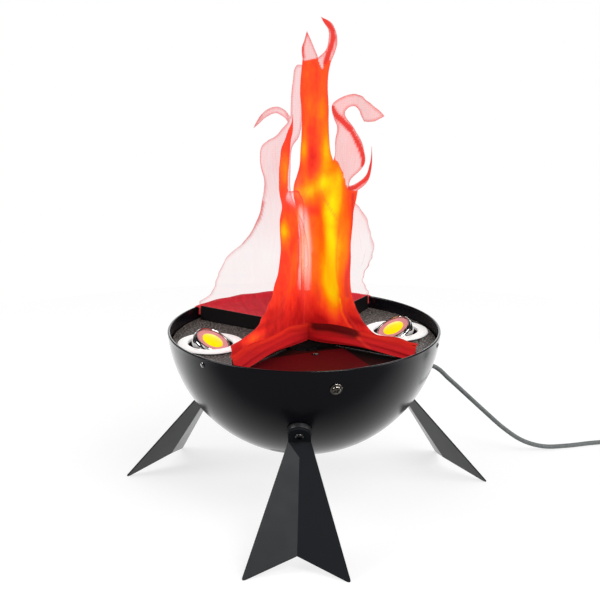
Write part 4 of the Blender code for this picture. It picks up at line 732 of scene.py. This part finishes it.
def make_lamp(side):
    """One lamp: its fixed ring, and the ring, reflector, burner, glasses and clip that tilt."""
    level = Matrix.Translation(azimuth_point(LAMP_AZ[side], LAMP_REACH, PLATE_TOP_Z))
    make_trim_ring(side, level)
    tilted = level @ lifted(PIVOT_RISE) @ turned(LAMP_TILT_AZ[side]) @ turned(LAMP_TILT, "X")

    def tilting(name, node, profile, steps, material):
        return piece(f"{name}_{side}", spun(profile, steps), material, f"lamp_head_{side}",
                     [f"{node}_{side}"] if node else (), tilted)

    gimbal = [(0.0181, 0.0066), (0.0184, 0.0069), (0.0188, 0.0066), (0.0188, 0.0046),
              (0.0192, 0.0038), (0.0197, 0.0034), (0.0198, 0.0028), (0.0194, 0.0022),
              (0.0192, -0.0036), (0.0189, -0.0040), (0.0186, -0.0036), (0.0186, 0.0012),
              (0.0164, 0.0012), (0.0164, 0.0022), (0.0181, 0.0022)]
    yoke = tilting("gimbal", "gimbal_ring", gimbal, 128, CHROME)
    cut(yoke, [rod(0.0012, 0.0188, 0.0262, 20, tilted @ turned(end * 90.0, "Y"))
               for end in (-1, 1)], "UNION")
    seat, depth, rim_r, neck_r, throat_r = 0.0025, 0.018, 0.0161, 0.0065, 0.0040
    rim_top = seat + 0.0018
    foot = seat - 0.030
    bottom = seat - depth * 0.86
    outside = [(0.0177, rim_top), (0.0177, seat), (rim_r, seat)]
    outside += [(rim_r - 0.0096 * t ** 1.4, seat - (depth + seat) * t)
                for t in (i / 8 for i in range(1, 9))]
    inside = [(0.0, bottom), (throat_r, bottom)]
    inside += [(throat_r + 0.0125 * t ** 0.62, bottom + (rim_top - bottom) * t)
               for t in (i / 12 for i in range(1, 13))]
    tilting("reflector", "lamp", outside + [(neck_r, foot), (0.0, foot)] + inside, 96, MIRROR)
    capsule = [(0.0, bottom + 0.0118), (0.0012, bottom + 0.0115), (0.0022, bottom + 0.0105),
               (0.0030, bottom + 0.0085), (0.0030, bottom + GAP), (0.0, bottom + GAP)]
    tilting("capsule", "lamp_capsule", capsule, 32, CAPSULE_GLASS)
    under = rim_top + GAP
    glass = [(0.0, under + 0.0012), (0.0168, under + 0.0012), (0.0170, under + 0.0010),
             (0.0170, under), (0.0, under)]
    tilting("front_glass", "lamp_filter", glass, 96, PINK_GLASS)
    lens = [(0.0, under + 0.0026), (0.005, under + 0.0024), (0.009, under + 0.0018),
            (0.0110, under + 0.00135), (0.0110, under + 0.00125), (0.0, under + 0.00125)]
    tilting("lens", None, lens, 96, YELLOW_GLASS)
    wire_r, clip_r, clip_z = 0.0004, 0.0173, under + 0.0019
    wire = [(clip_r + wire_r * math.cos(a), clip_z + wire_r * math.sin(a))
            for a in (math.radians(45.0 * i) for i in range(8))]
    clip = tilting("clip", "lamp_clip", wire, 96, NICKEL)
    cut(clip, [placed(block((0.0060, 0.0040, 0.0030)),
                      tilted @ Matrix.Translation((0.0, clip_r, clip_z)))])
    dressed(f"lamp_socket_{side}", CERAMIC, f"lamp_head_{side}", bevel=0.0)


def make_gland():
    """Strain relief: a flange in the bowl's wall and a ribbed, tapered sleeve."""
    inside = -(BOWL_WALL + 3 * GAP)
    profile = [(0.0, GLAND_LENGTH), (0.0028, GLAND_LENGTH), (0.0033, 0.0297)]
    for i in range(7):
        foot = 0.0285 - 0.0032 * i
        radius = 0.0034 + 0.00026 * i
        profile += [(radius, foot), (radius + 0.0001, foot - 0.0014),
                    (radius - 0.0006, foot - 0.0017), (radius - 0.0006, foot - 0.0027)]
    profile += [(0.0056, 0.0056), (0.0064, 0.0036), (0.0070, 0.0030), (0.0072, 0.0024),
                (0.0072, 2 * GAP), (0.0053, 2 * GAP), (0.0053, inside),
                (0.0060, inside), (0.0047, inside - 0.006), (0.0, inside - 0.006)]
    piece("strain_relief", spun(profile, 48), GLAND_RUBBER, nodes=["cord_gland"],
          place=on_bowl(GLAND_AZ, GLAND_Z, 0.0))


def silk_blank(outline, cell):
    """Flat cut piece on a fine square grid: (reach, height) in its X and Y."""
    curve = bpy.data.curves.new("cut", "CURVE")
    curve.dimensions = "2D"
    curve.fill_mode = "BOTH"
    curve.resolution_u = 8
    spline = curve.splines.new("BEZIER")
    spline.bezier_points.add(len(outline) - 1)
    spline.use_cyclic_u = True
    for point, (reach, height, *sharp) in zip(spline.bezier_points, outline):
        point.co = (reach / 1000.0, height / 1000.0, 0.0)
        point.handle_left_type = point.handle_right_type = "VECTOR" if sharp else "AUTO"
    holder = shown("cut", curve)
    depsgraph = bpy.context.evaluated_depsgraph_get()
    bm = bmesh.new()
    bm.from_mesh(bpy.data.meshes.new_from_object(holder.evaluated_get(depsgraph)))
    bpy.data.objects.remove(holder, do_unlink=True)
    for layer in list(bm.loops.layers.uv):
        bm.loops.layers.uv.remove(layer)
    bmesh.ops.remove_doubles(bm, verts=bm.verts[:], dist=0.00003)
    inner = [e for e in bm.edges if not e.is_boundary]
    bmesh.ops.dissolve_edges(bm, edges=inner, use_verts=False)
    for axis in (0, 1):
        values = [vert.co[axis] for vert in bm.verts]
        low, high = min(values), max(values)
        count = int((high - low) / cell)
        for i in range(1, count):
            spot, normal = Vector(), Vector()
            spot[axis] = low + (high - low) * i / count
            normal[axis] = 1.0
            bmesh.ops.bisect_plane(bm, geom=bm.verts[:] + bm.edges[:] + bm.faces[:],
                                   dist=1e-6, plane_co=spot, plane_no=normal)
    bmesh.ops.remove_doubles(bm, verts=bm.verts[:], dist=0.0002)
    bmesh.ops.triangulate(bm, faces=bm.faces[:])
    bmesh.ops.recalc_face_normals(bm, faces=bm.faces[:])
    return bm


ALL_LIT = 400
NOT_LIT = [(0, -ALL_LIT), (140, -ALL_LIT)]


def area_of(bm):
    return sum(face.calc_area() for face in bm.faces)


def blobs(reach, height, spots):
    """Sum of soft round spots: (reach, height, half width, half height, weight)."""
    total = 0.0
    for r, h, a, b, weight in spots:
        total += weight * math.exp(-((reach - r) / a) ** 2 - ((height - h) / b) ** 2)
    return total


def strokes(reach, height, lines):
    """Strength of drawn lines at a point: each line is (width, points, weight)."""
    best = 0.0
    here = Vector((reach, height))
    for width, points, *weight in lines:
        for (r0, h0), (r1, h1) in zip(points, points[1:]):
            a, b = Vector((r0, h0)), Vector((r1, h1))
            t = min(max((here - a).dot(b - a) / (b - a).length_squared, 0.0), 1.0)
            near = 1.0 - smooth((here - a.lerp(b, t)).length, width * 0.3, width)
            best = max(best, near * (weight[0] if weight else 1.0))
    return best


def level_line(reach, line):
    """Height of a broken line at a reach."""
    for (r0, h0), (r1, h1) in zip(line, line[1:]):
        if r0 <= reach <= r1:
            return h0 + (h1 - h0) * (reach - r0) / (r1 - r0)
    return line[0][1] if reach < line[0][0] else line[-1][1]


def silk_layers(bm, place):
    """Cut-piece map, with a vertex's (u, v) from its place, and empty silk marks."""
    uv = bm.loops.layers.uv.new("cut")
    for face in bm.faces:
        for loop in face.loops:
            loop[uv].uv = place(loop.vert.co)
    return [bm.verts.layers.float.new(key) for key in SILK_MARKS]


def flat_map(spot):
    """Map of 1 unit to 100 mm of silk."""
    return spot.x * 10.0, spot.y * 10.0


def paint_silk(bm, lit_top=NOT_LIT, painted_warmth_base=0.0, painted_warmth=(), pale=(), folds=(), shade=(),
               shine=()):
    """Marks of painted light: where the lamps' light lies on the silk, how warm it is, painted
    highlights and painted shade, and where it is folded. Spots and lines in mm.
    """
    lit_mark, painted_warmth_mark, fold_mark, shade_mark = silk_layers(bm, flat_map)
    rim = [vert.co.copy() for vert in bm.verts if vert.is_boundary]
    tree = KDTree(len(rim))
    for index, spot in enumerate(rim):
        tree.insert(spot, index)
    tree.balance()
    for vert in bm.verts:
        r, h = vert.co.x * 1000.0, vert.co.y * 1000.0
        lit = smooth(level_line(r, lit_top) - h, -1.2, 1.2)
        # Pale spots take the painted lamp light away.
        lit *= 1.0 - min(blobs(r, h, pale), 1.0)
        hem = 1.0 - smooth(tree.find(vert.co)[2], 0.0003, 0.0030)
        vert[lit_mark] = max(lit, 0.0)
        # Painted warmth: lower near the foot as painted shade, higher along the shine lines as a
        # painted highlight.
        vert[painted_warmth_mark] = (painted_warmth_base + blobs(r, h, painted_warmth) - 0.23 * (1.0 - smooth(h, 0.0, 65.0))
                           + 0.45 * strokes(r, h, shine))
        vert[fold_mark] = max(strokes(r, h, folds), 0.45 * hem)
        vert[shade_mark] = strokes(r, h, shade)


def hem_of(bm, name, place):
    """Rolled cut edge: a fine tube along a sheet's outline."""
    boundary = [e for e in bm.edges if e.is_boundary]
    start = boundary[0].verts[0]
    loop, vert, used = [start], boundary[0].verts[1], {boundary[0]}
    while vert is not start:
        loop.append(vert)
        step = next(e for e in vert.link_edges if e.is_boundary and e not in used)
        used.add(step)
        vert = step.other_vert(vert)
    hem = tube(name, [place @ corner.co for corner in loop], 0.00032, 1, HEM_SILK, closed=True)
    return ride_and_replace(hem, "base", ())


def drape_wing(bm, bend, ripples):
    """Bend a flat cut piece into its folds, in its arm's own frame.

    The bend is (bow, ripple, wave along, wave up, phase); each ripple is (depth, wave along,
    wave up, phase). Waves are lengths in metres.
    """
    bow, ripple, wave_r, wave_h, phase = bend
    height = max(vert.co.y for vert in bm.verts)
    for vert in bm.verts:
        reach, up, _ = vert.co
        free = smooth(reach, 0.004, 0.040) * smooth(up, 0.0, 0.060)
        wave = ripple * math.sin(math.tau * (reach / wave_r + up / wave_h) + phase)
        lean = bow * math.sin(math.pi * min(max(up, 0.0) / height, 1.0)) * min(reach / 0.08, 1.0)
        fine = sum(depth * math.sin(math.tau * (reach / a + up / b) + shift)
                   for depth, a, b, shift in ripples)
        flare = smooth(reach, 0.050, 0.080) * (1.0 - smooth(up, 0.035, 0.060))
        near = smooth(reach, 0.002, 0.012) * smooth(up, 0.010, 0.055) * (1.0 - flare)
        along = 0.0007 * flare * smooth(up, 0.0, 0.005) * math.sin(up * 560.0 + reach * 30.0)
        past = 0.6 * min(reach, 0.0)
        vert.co = (free * (wave + lean) + near * fine + along + past, -reach,
                   ARM_TOP_Z + GAP + up)


def make_wing(side, outline, bend, ripples, paint):
    """One wing of the flame, standing along its arm: lit in front, sheer behind."""
    material, slot = ((SILK, "orange_silk") if side.startswith("front")
                      else (SHEER_SILK, "pink_silk"))
    bm = silk_blank(outline, 0.0017)
    area = area_of(bm)
    low, high = ([pick(vert.co[axis] for vert in bm.verts) for axis in (0, 1)]
                 for pick in (min, max))
    paint_silk(bm, **paint)
    drape_wing(bm, bend, ripples)
    place = Matrix.Translation(AXIS) @ turned(ARM_AZ[side])
    hem = hem_of(bm, f"hem_{side}", place)
    wing = piece(f"silk_wing_{side}", bm, material, nodes=[f"silk_{side}"],
                 place=place, angle=180.0)


# Outlines, spots and lines in mm along the arm and up; a third value of 1 is a corner.
INNER, HEM = 0.4, 132.0

# In each paint, lit_top, painted warmth and shine lines are painted lamp light and highlights, pale
# spots take that light away, and spots of negative weight and shade lines are painted shade.
WINGS = {
    "front_left": dict(
        outline=[
            (INNER, 0, 1), (HEM, 0, 1), (HEM, 13, 1), (107, 15), (88, 19), (74, 30), (59, 53),
            (47, 77), (44, 108), (49, 124), (56, 138), (57, 152), (53.3, 163), (49, 175.5),
            (42.5, 189), (38.5, 196), (34, 203.5), (26.5, 212), (20.5, 220, 1), (23.8, 207.7),
            (30, 197), (34.5, 188), (38, 174), (40.2, 161), (38.5, 150, 1), (23.5, 143.8),
            (13.5, 143), (5.5, 136), (INNER, 126, 1)],
        bend=(0.006, 0.0045, 0.060, 0.110, 0.5),
        ripples=[(0.0008, 0.021, 0.30, 0.3), (0.0004, 0.012, -0.21, 1.1)],
        paint=dict(
            lit_top=[(0, ALL_LIT), (140, ALL_LIT)], painted_warmth_base=0.24,
            painted_warmth=[(37.5, 107, 9, 11, 0.55), (42, 168, 9, 16, 0.26),
                  (28, 45, 12, 22, 0.12), (92, 9, 16, 7, 0.34), (18, 70, 10, 20, 0.16),
                  (8, 118, 10, 14, 0.5), (1, 72, 6, 30, 0.6)],
            pale=[(30, 143, 12, 7.5, 0.95), (16, 136, 10, 9, 0.95), (7, 122, 8, 12, 0.95),
                  (4, 104, 7, 12, 0.95), (2, 86, 7, 16, 0.85), (2, 56, 8, 22, 0.82)],
            folds=[(2.6, [(22, 218), (28, 208), (36, 199)], 0.8),
                   (1.6, [(56, 140), (57, 152), (53, 164), (49, 176)], 0.5),
                   (1.8, [(44, 118), (40, 122)]),
                   (1.8, [(29, 131), (16, 113), (9, 92), (9, 70), (12, 50)], 0.4)])),
    "front_right": dict(
        outline=[
            (-3, 0, 1), (-3, 60), (-4, 100), (-7.5, 125), (-9.2, 137), (-8.8, 146), (-6.2, 156),
            (-4, 166), (-3.2, 181), (-2.2, 202), (-2.4, 222), (-3.5, 240), (-1.5, 272, 1), (-2, 283),
            (0.3, 291), (3, 299.5, 1), (9.5, 287), (17, 274.8, 1), (22.5, 279), (25.8, 284),
            (27, 293), (26.2, 302), (22.2, 309), (19, 314.5, 1), (27.5, 309.5), (33, 303),
            (35.5, 292.5), (34.3, 281.3), (31.5, 271.5), (30, 262), (29.5, 248), (30, 229),
            (28, 212), (27.7, 196), (29, 181), (31.2, 173.5, 1), (35.5, 184), (39.5, 196),
            (42.5, 209.5), (39, 218.5), (35.2, 228), (40.8, 236), (49.5, 240.8), (65.5, 241.8),
            (76.5, 238.5), (83.5, 233.5), (93, 224.8, 1), (85, 219.8, 1), (67, 216.3, 1),
            (64, 221.5), (61.7, 227.2), (54.5, 230.3), (48.4, 226.3), (48, 222.2), (52.5, 215),
            (58.6, 207.6), (64, 198.5), (67, 190), (69.5, 177), (67.5, 171), (58, 158.5),
            (55.6, 153, 1), (61, 154.5), (70.5, 162.5), (74, 174.5), (79, 194.3, 1), (78.2, 184),
            (76, 169.5), (73.5, 159), (70, 153.3), (66.5, 150, 1), (65, 138.4), (57.3, 119.6),
            (53.5, 98), (54.5, 76), (55.5, 58), (57.5, 43), (62.5, 28), (69, 16), (76, 8.5),
            (84, 4.2), (96, 2.2), (HEM, 2, 1), (HEM, 0, 1)],
        bend=(-0.004, 0.0050, 0.045, 0.140, 2.0),
        ripples=[(0.0009, 0.019, 0.34, 0.0), (0.0004, 0.011, -0.19, 2.0)],
        paint=dict(
            lit_top=[(0, 270), (16, 274), (22.6, 263), (27.5, 279), (31, 270), (32, 175),
                      (40, 173), (47, 165), (51, 149), (140, 149)],
            painted_warmth_base=0.33,
            painted_warmth=[(23, 151, 10, 11, 0.5), (8, 142, 7, 11, 0.38), (-4, 139, 8, 8, 0.3),
                  (0, 82, 7, 36, 0.55), (36, 137, 8, 12, 0.38),
                  (32, 120, 9, 17, 0.55), (29, 92, 7, 16, 0.30), (36, 84, 8, 26, 0.60),
                  (27, 55, 7, 24, 0.72), (36, 42, 8, 28, 0.66),
                  (21, 219, 6, 14, 0.14), (14, 226, 10, 9, 0.08), (26, 184, 6, 20, 0.46),
                  (-0.5, 184, 5, 13, 0.36), (40, 158, 9, 14, 0.42), (14, 95, 9, 42, 0.14),
                  (9.5, 174, 6, 28, -0.20), (10, 121, 7, 5, -0.2), (48, 85, 6, 50, 0.12),
                  (57, 95, 4, 45, -0.15), (8, 258, 14, 22, -0.04), (12, 58, 9, 26, 0.16),
                  (22, 6, 18, 9, -0.15), (60, 14, 14, 6, -0.15), (98, 6, 22, 6, -0.2)],
            pale=[(1.5, 76, 8.0, 40, 0.84), (-4.0, 112, 7.0, 14, 0.8), (-7, 150, 4, 12, 0.5)],
            shade=[(3.6, [(8, 1), (47, 1.5)], 0.6)],
            shine=[(2.4, [(42.5, 34), (45, 20), (52, 9), (61, 0)], 0.45)],
            folds=[(3.6, [(36.5, 229), (41, 221.5), (47.5, 215), (54, 208)]),
                   (2.8, [(54, 208), (60, 199.5), (64.5, 190.5), (68, 180), (68.5, 174)]),
                   (3.8, [(22, 311.5), (30, 302.5), (31.5, 295), (30, 286), (27.5, 277), (26, 271)]),
                   (3.0, [(79, 194), (77, 182), (75, 170), (72, 160.5), (64, 152.5), (54, 149.5)]),
                   (2.2, [(2.5, 298), (0, 290), (-1.5, 282), (-0.5, 274)], 0.7),
                   (1.5, [(22, 143), (31, 128), (41, 113), (41.5, 80), (43, 45), (47, 24)], 0.35),
                   (5.0, [(13, 75), (14, 59), (17, 30)], 0.35),
                   (3.0, [(54, 40), (53, 60), (55.5, 90), (58, 122), (62, 146)]),
                   (2.2, [(47, 24), (55, 14), (64, 4)], 0.6)])),
    "rear_left": dict(
        outline=[
            (INNER, 0, 1), (INNER, 104), (10, 122), (16.5, 138), (17, 160), (14, 182), (6, 196),
            (3, 210), (2, 240), (INNER, 266, 1), (9, 265), (13, 250), (14.5, 213.5, 1),
            (19.7, 217.8), (25.5, 221.2), (36.6, 221.2), (45.5, 218), (50.4, 213.3), (55.7, 205.8),
            (59.4, 198.4, 1), (52.7, 204.6), (47.2, 210), (39.3, 214.2), (29.1, 215.4), (22.6, 213),
            (18, 208.5, 1), (23, 202.2), (30, 193.7), (45, 185.4), (51.4, 178.5), (50.6, 168.8),
            (45.5, 159), (42, 150.3), (42.8, 137.6), (46.4, 124.4), (52.4, 106.7), (61.2, 89),
            (69, 79), (88, 61), (104, 38), (116, 16), (HEM, 4, 1), (HEM + 1, -10, 1),
            (HEM - 1, -10, 1), (HEM - 1, 0, 1)],
        bend=(0.008, 0.0060, 0.055, 0.120, 1.2),
        ripples=[(0.0008, 0.021, 0.31, 0.0), (0.0005, 0.012, -0.2, 1.0)],
        paint=dict(folds=[(1.8, [(59.5, 198), (55.7, 205.5), (50.4, 212.5)], 0.6),
                          (1.6, [(50.4, 212.5), (45.5, 217), (36.6, 220), (25.5, 220)], 0.3),
                          (2.0, [(21, 218), (17, 211), (22, 203), (30, 194.5), (44, 186.5)], 0.5),
                          (3.2, [(46, 124), (53, 105), (62, 89), (70, 79)], 0.8),
                          (1.5, [(42, 139), (42, 150)], 0.6)])),
    "rear_right": dict(
        outline=[
            (INNER, 0, 1), (INNER, 205, 1), (18, 196), (36, 160), (60, 127), (77, 109),
            (83.5, 100.5), (92.5, 85.7), (104, 70), (112.5, 53.5), (118.5, 41.5), (119.5, 31),
            (117.5, 24), (120.5, 16.3), (127.5, 8.5), (HEM, 4, 1), (HEM + 1, -10, 1),
            (HEM - 1, -10, 1), (HEM - 1, 0, 1)],
        bend=(-0.026, 0.0050, 0.060, 0.100, 0.0),
        ripples=[(0.0008, 0.020, 0.33, 0.0), (0.0005, 0.012, -0.22, 0.6)],
        paint=dict(folds=[(2.4, [(119.5, 41), (119.5, 31), (117.5, 24)]),
                          (1.6, [(117.5, 23), (124, 13)], 0.7)])),
}


def make_skirt(side, way):
    """Silk that falls over one of the front arms in folds along the arm, with painted lamp light and
    painted shade.
    """
    bm = bmesh.new()
    bmesh.ops.create_grid(bm, x_segments=90, y_segments=40, size=0.5)
    marks = silk_layers(bm, lambda spot: (0.5 * (spot.y + 0.5), 1.2 * (spot.x + 0.5)))
    lit_mark, painted_warmth_mark, fold_mark, shade_mark = marks
    start, stop = 0.0066, ARM_REACH + 0.001
    meet = 0.0085 if way > 0 else 0.0052
    end_drop = 0.0030 if way > 0 else 0.0050
    painted_pocket_shade = (10.0, [(17.0, 3.0), (34.0, 3.5), (60.0, 6.0)], 0.92)
    painted_fold_highlight = (2.6, [(60.0, 6.5), (75.0, 17.0), (84.0, 22.0)], 0.2)
    for vert in bm.verts:
        along, down = vert.co.x + 0.5, vert.co.y + 0.5
        reach = start + (stop - start) * along
        fold = math.sin(17.0 * down - 3.2 * along + 0.9 * math.sin(5.0 * along))
        free = smooth(down, 0.30, 0.75)
        aside = 0.0002 + 0.0012 * smooth(down, 0.0, 0.35) + 0.0060 * free * down
        aside += 0.0007 * free * fold
        aside += (meet - aside) * (1.0 - smooth(reach, start, 0.032))
        drop = 0.0115 + 0.0015 * math.sin(along * 7.0 + 1.0)
        height = 0.0050 - end_drop * smooth(along, 0.80, 1.0)
        height += 0.0012 * math.sin(along * 9.0 + way) * smooth(along, 0.05, 0.2)
        vert.co = (way * aside, -reach, ARM_TOP_Z + height - (drop + height) * down)
        # Painted lamp light fades downwards; painted warmth is a little higher on the fold crests
        # and lower towards the foot, as painted shade.
        vert[lit_mark] = 0.85 - 0.55 * smooth(down, 0.0, 0.7)
        vert[painted_warmth_mark] = 0.17 + 0.03 * fold - 0.17 * down
        vert[fold_mark] = 0.4 * smooth(down, 0.95, 1.0)
        # The right skirt also gets a painted dark band of shade and a painted highlight along one
        # fold.
        if way < 0:
            spot = reach * 1000.0, down * 22.1
            vert[shade_mark] = strokes(*spot, [painted_pocket_shade])
            vert[painted_warmth_mark] += strokes(*spot, [painted_fold_highlight])
    area = area_of(bm)
    place = Matrix.Translation(AXIS) @ turned(ARM_AZ[side])
    short = side.split("_")[1]
    skirt = piece(f"silk_drop_{short}", bm, RED_SILK, nodes=[f"silk_skirt_{short}"],
                  place=place, angle=180.0)


def make_rear_panel():
    """Silk spread level with the rim between the two rear arms."""
    aside = (ARM_THICK / 2 + GAP) * math.sqrt(2)
    over_bead, foot = 0.1396, 0.010
    bm = bmesh.new()
    bmesh.ops.create_grid(bm, x_segments=70, y_segments=50, size=0.5)
    for vert in bm.verts:
        across, outward = vert.co.x * 2.0, vert.co.y + 0.5
        angle = math.radians(45.0 * across)
        rim = (math.sqrt(over_bead ** 2 - (aside * math.sin(angle)) ** 2)
               - aside * math.cos(angle))
        reach = foot + (rim - foot) * outward
        sag = 0.0022 * (1.0 - across ** 2) * math.sin(math.pi * outward)
        ray = 0.0004 * math.sin(across * 21.0) * outward * (1.0 - across ** 4)
        vert.co = (reach * math.sin(angle), -aside - reach * math.cos(angle),
                   RIM_Z - 0.0015 - sag + ray + 0.0021 * smooth(reach, 0.128, 0.1335))
    silk_layers(bm, flat_map)
    area = area_of(bm)
    place = Matrix.Translation(AXIS) @ turned(INNER_AZ + 180.0)
    panel = piece("silk_deck", bm, PANEL_SILK, nodes=["silk_rear_panel"],
                  place=place, angle=180.0)


def make_floor():
    """White floor that keeps the shadow; behind the light, mirrors see it brighter."""
    bm = bmesh.new()
    bmesh.ops.create_circle(bm, cap_ends=True, radius=0.85, segments=96)
    floor = shown("floor", mesh_from(placed(bm, Matrix.Translation(AXIS)), "floor"))
    finish = Finish("floor", WHITE[:3], 0.9)
    mirrored = finish.ray("Glossy")
    lift = finish.math("MULTIPLY", finish.ray("Camera"), 0.70)
    behind = finish.span(finish.part(finish.coordinates, "Y"), 0.0, 1.45, (-0.15, 0.20))
    finish.set(Base_Color=finish.span(mirrored, 0.36, 0.12), Specular_IOR_Level=0.0,
               Emission_Color=WHITE,
               Emission_Strength=finish.math("MULTIPLY_ADD", mirrored, behind, lift))
    floor.data.materials.append(finish.material)


def make_surroundings():
    """White surroundings, dimmer as light and in mirrors than they look, and soft lamps."""
    world = bpy.data.worlds.new("surroundings")
    bpy.context.scene.world = world
    nodes = Nodes(world)
    ahead = nodes.math("MAXIMUM", nodes.part(nodes.add("TexCoord", output="Generated"), "Y"), 0.0)
    behind = nodes.math("MULTIPLY_ADD", nodes.math("POWER", ahead, 8.0), 2.4, 0.03)
    lighting = nodes.blend(nodes.ray("Glossy"), 0.5, behind)
    seen = nodes.math("MAXIMUM", nodes.ray("Camera"), nodes.ray("Transmission"))
    background = nodes.tree.nodes["Background"].inputs
    nodes.feed(background["Strength"], nodes.blend(seen, lighting, 1.0))
    nodes.feed(background["Color"], WHITE)
    for name, spot, power in (("left_softbox", (-1.5, -0.5, 1.1), 12.0),
                              ("right_softbox", (1.6, -0.3, 1.0), 9.0),
                              ("top_softbox", (0.75, -1.30, 1.60), 17.0)):
        light = bpy.data.lights.new(name, "AREA")
        light.size = 0.9
        light.energy = power
        lamp = shown(name, light)
        lamp.location = spot
        aim = AXIS + Vector((0.0, 0.0, 0.22)) - lamp.location
        lamp.rotation_euler = aim.to_track_quat("-Z", "Y").to_euler()
    bpy.context.scene.view_settings.view_transform = "Standard"


make_camera()
make_cord()
make_gland()
make_bowl()
make_fixings()
make_deck()
for lamp_side in LAMP_AZ:
    make_lamp(lamp_side)
for wing_side, parts in WINGS.items():
    make_wing(wing_side, **parts)
make_skirt("front_left", 1)
make_skirt("front_right", -1)
make_rear_panel()
make_floor()
make_surroundings()
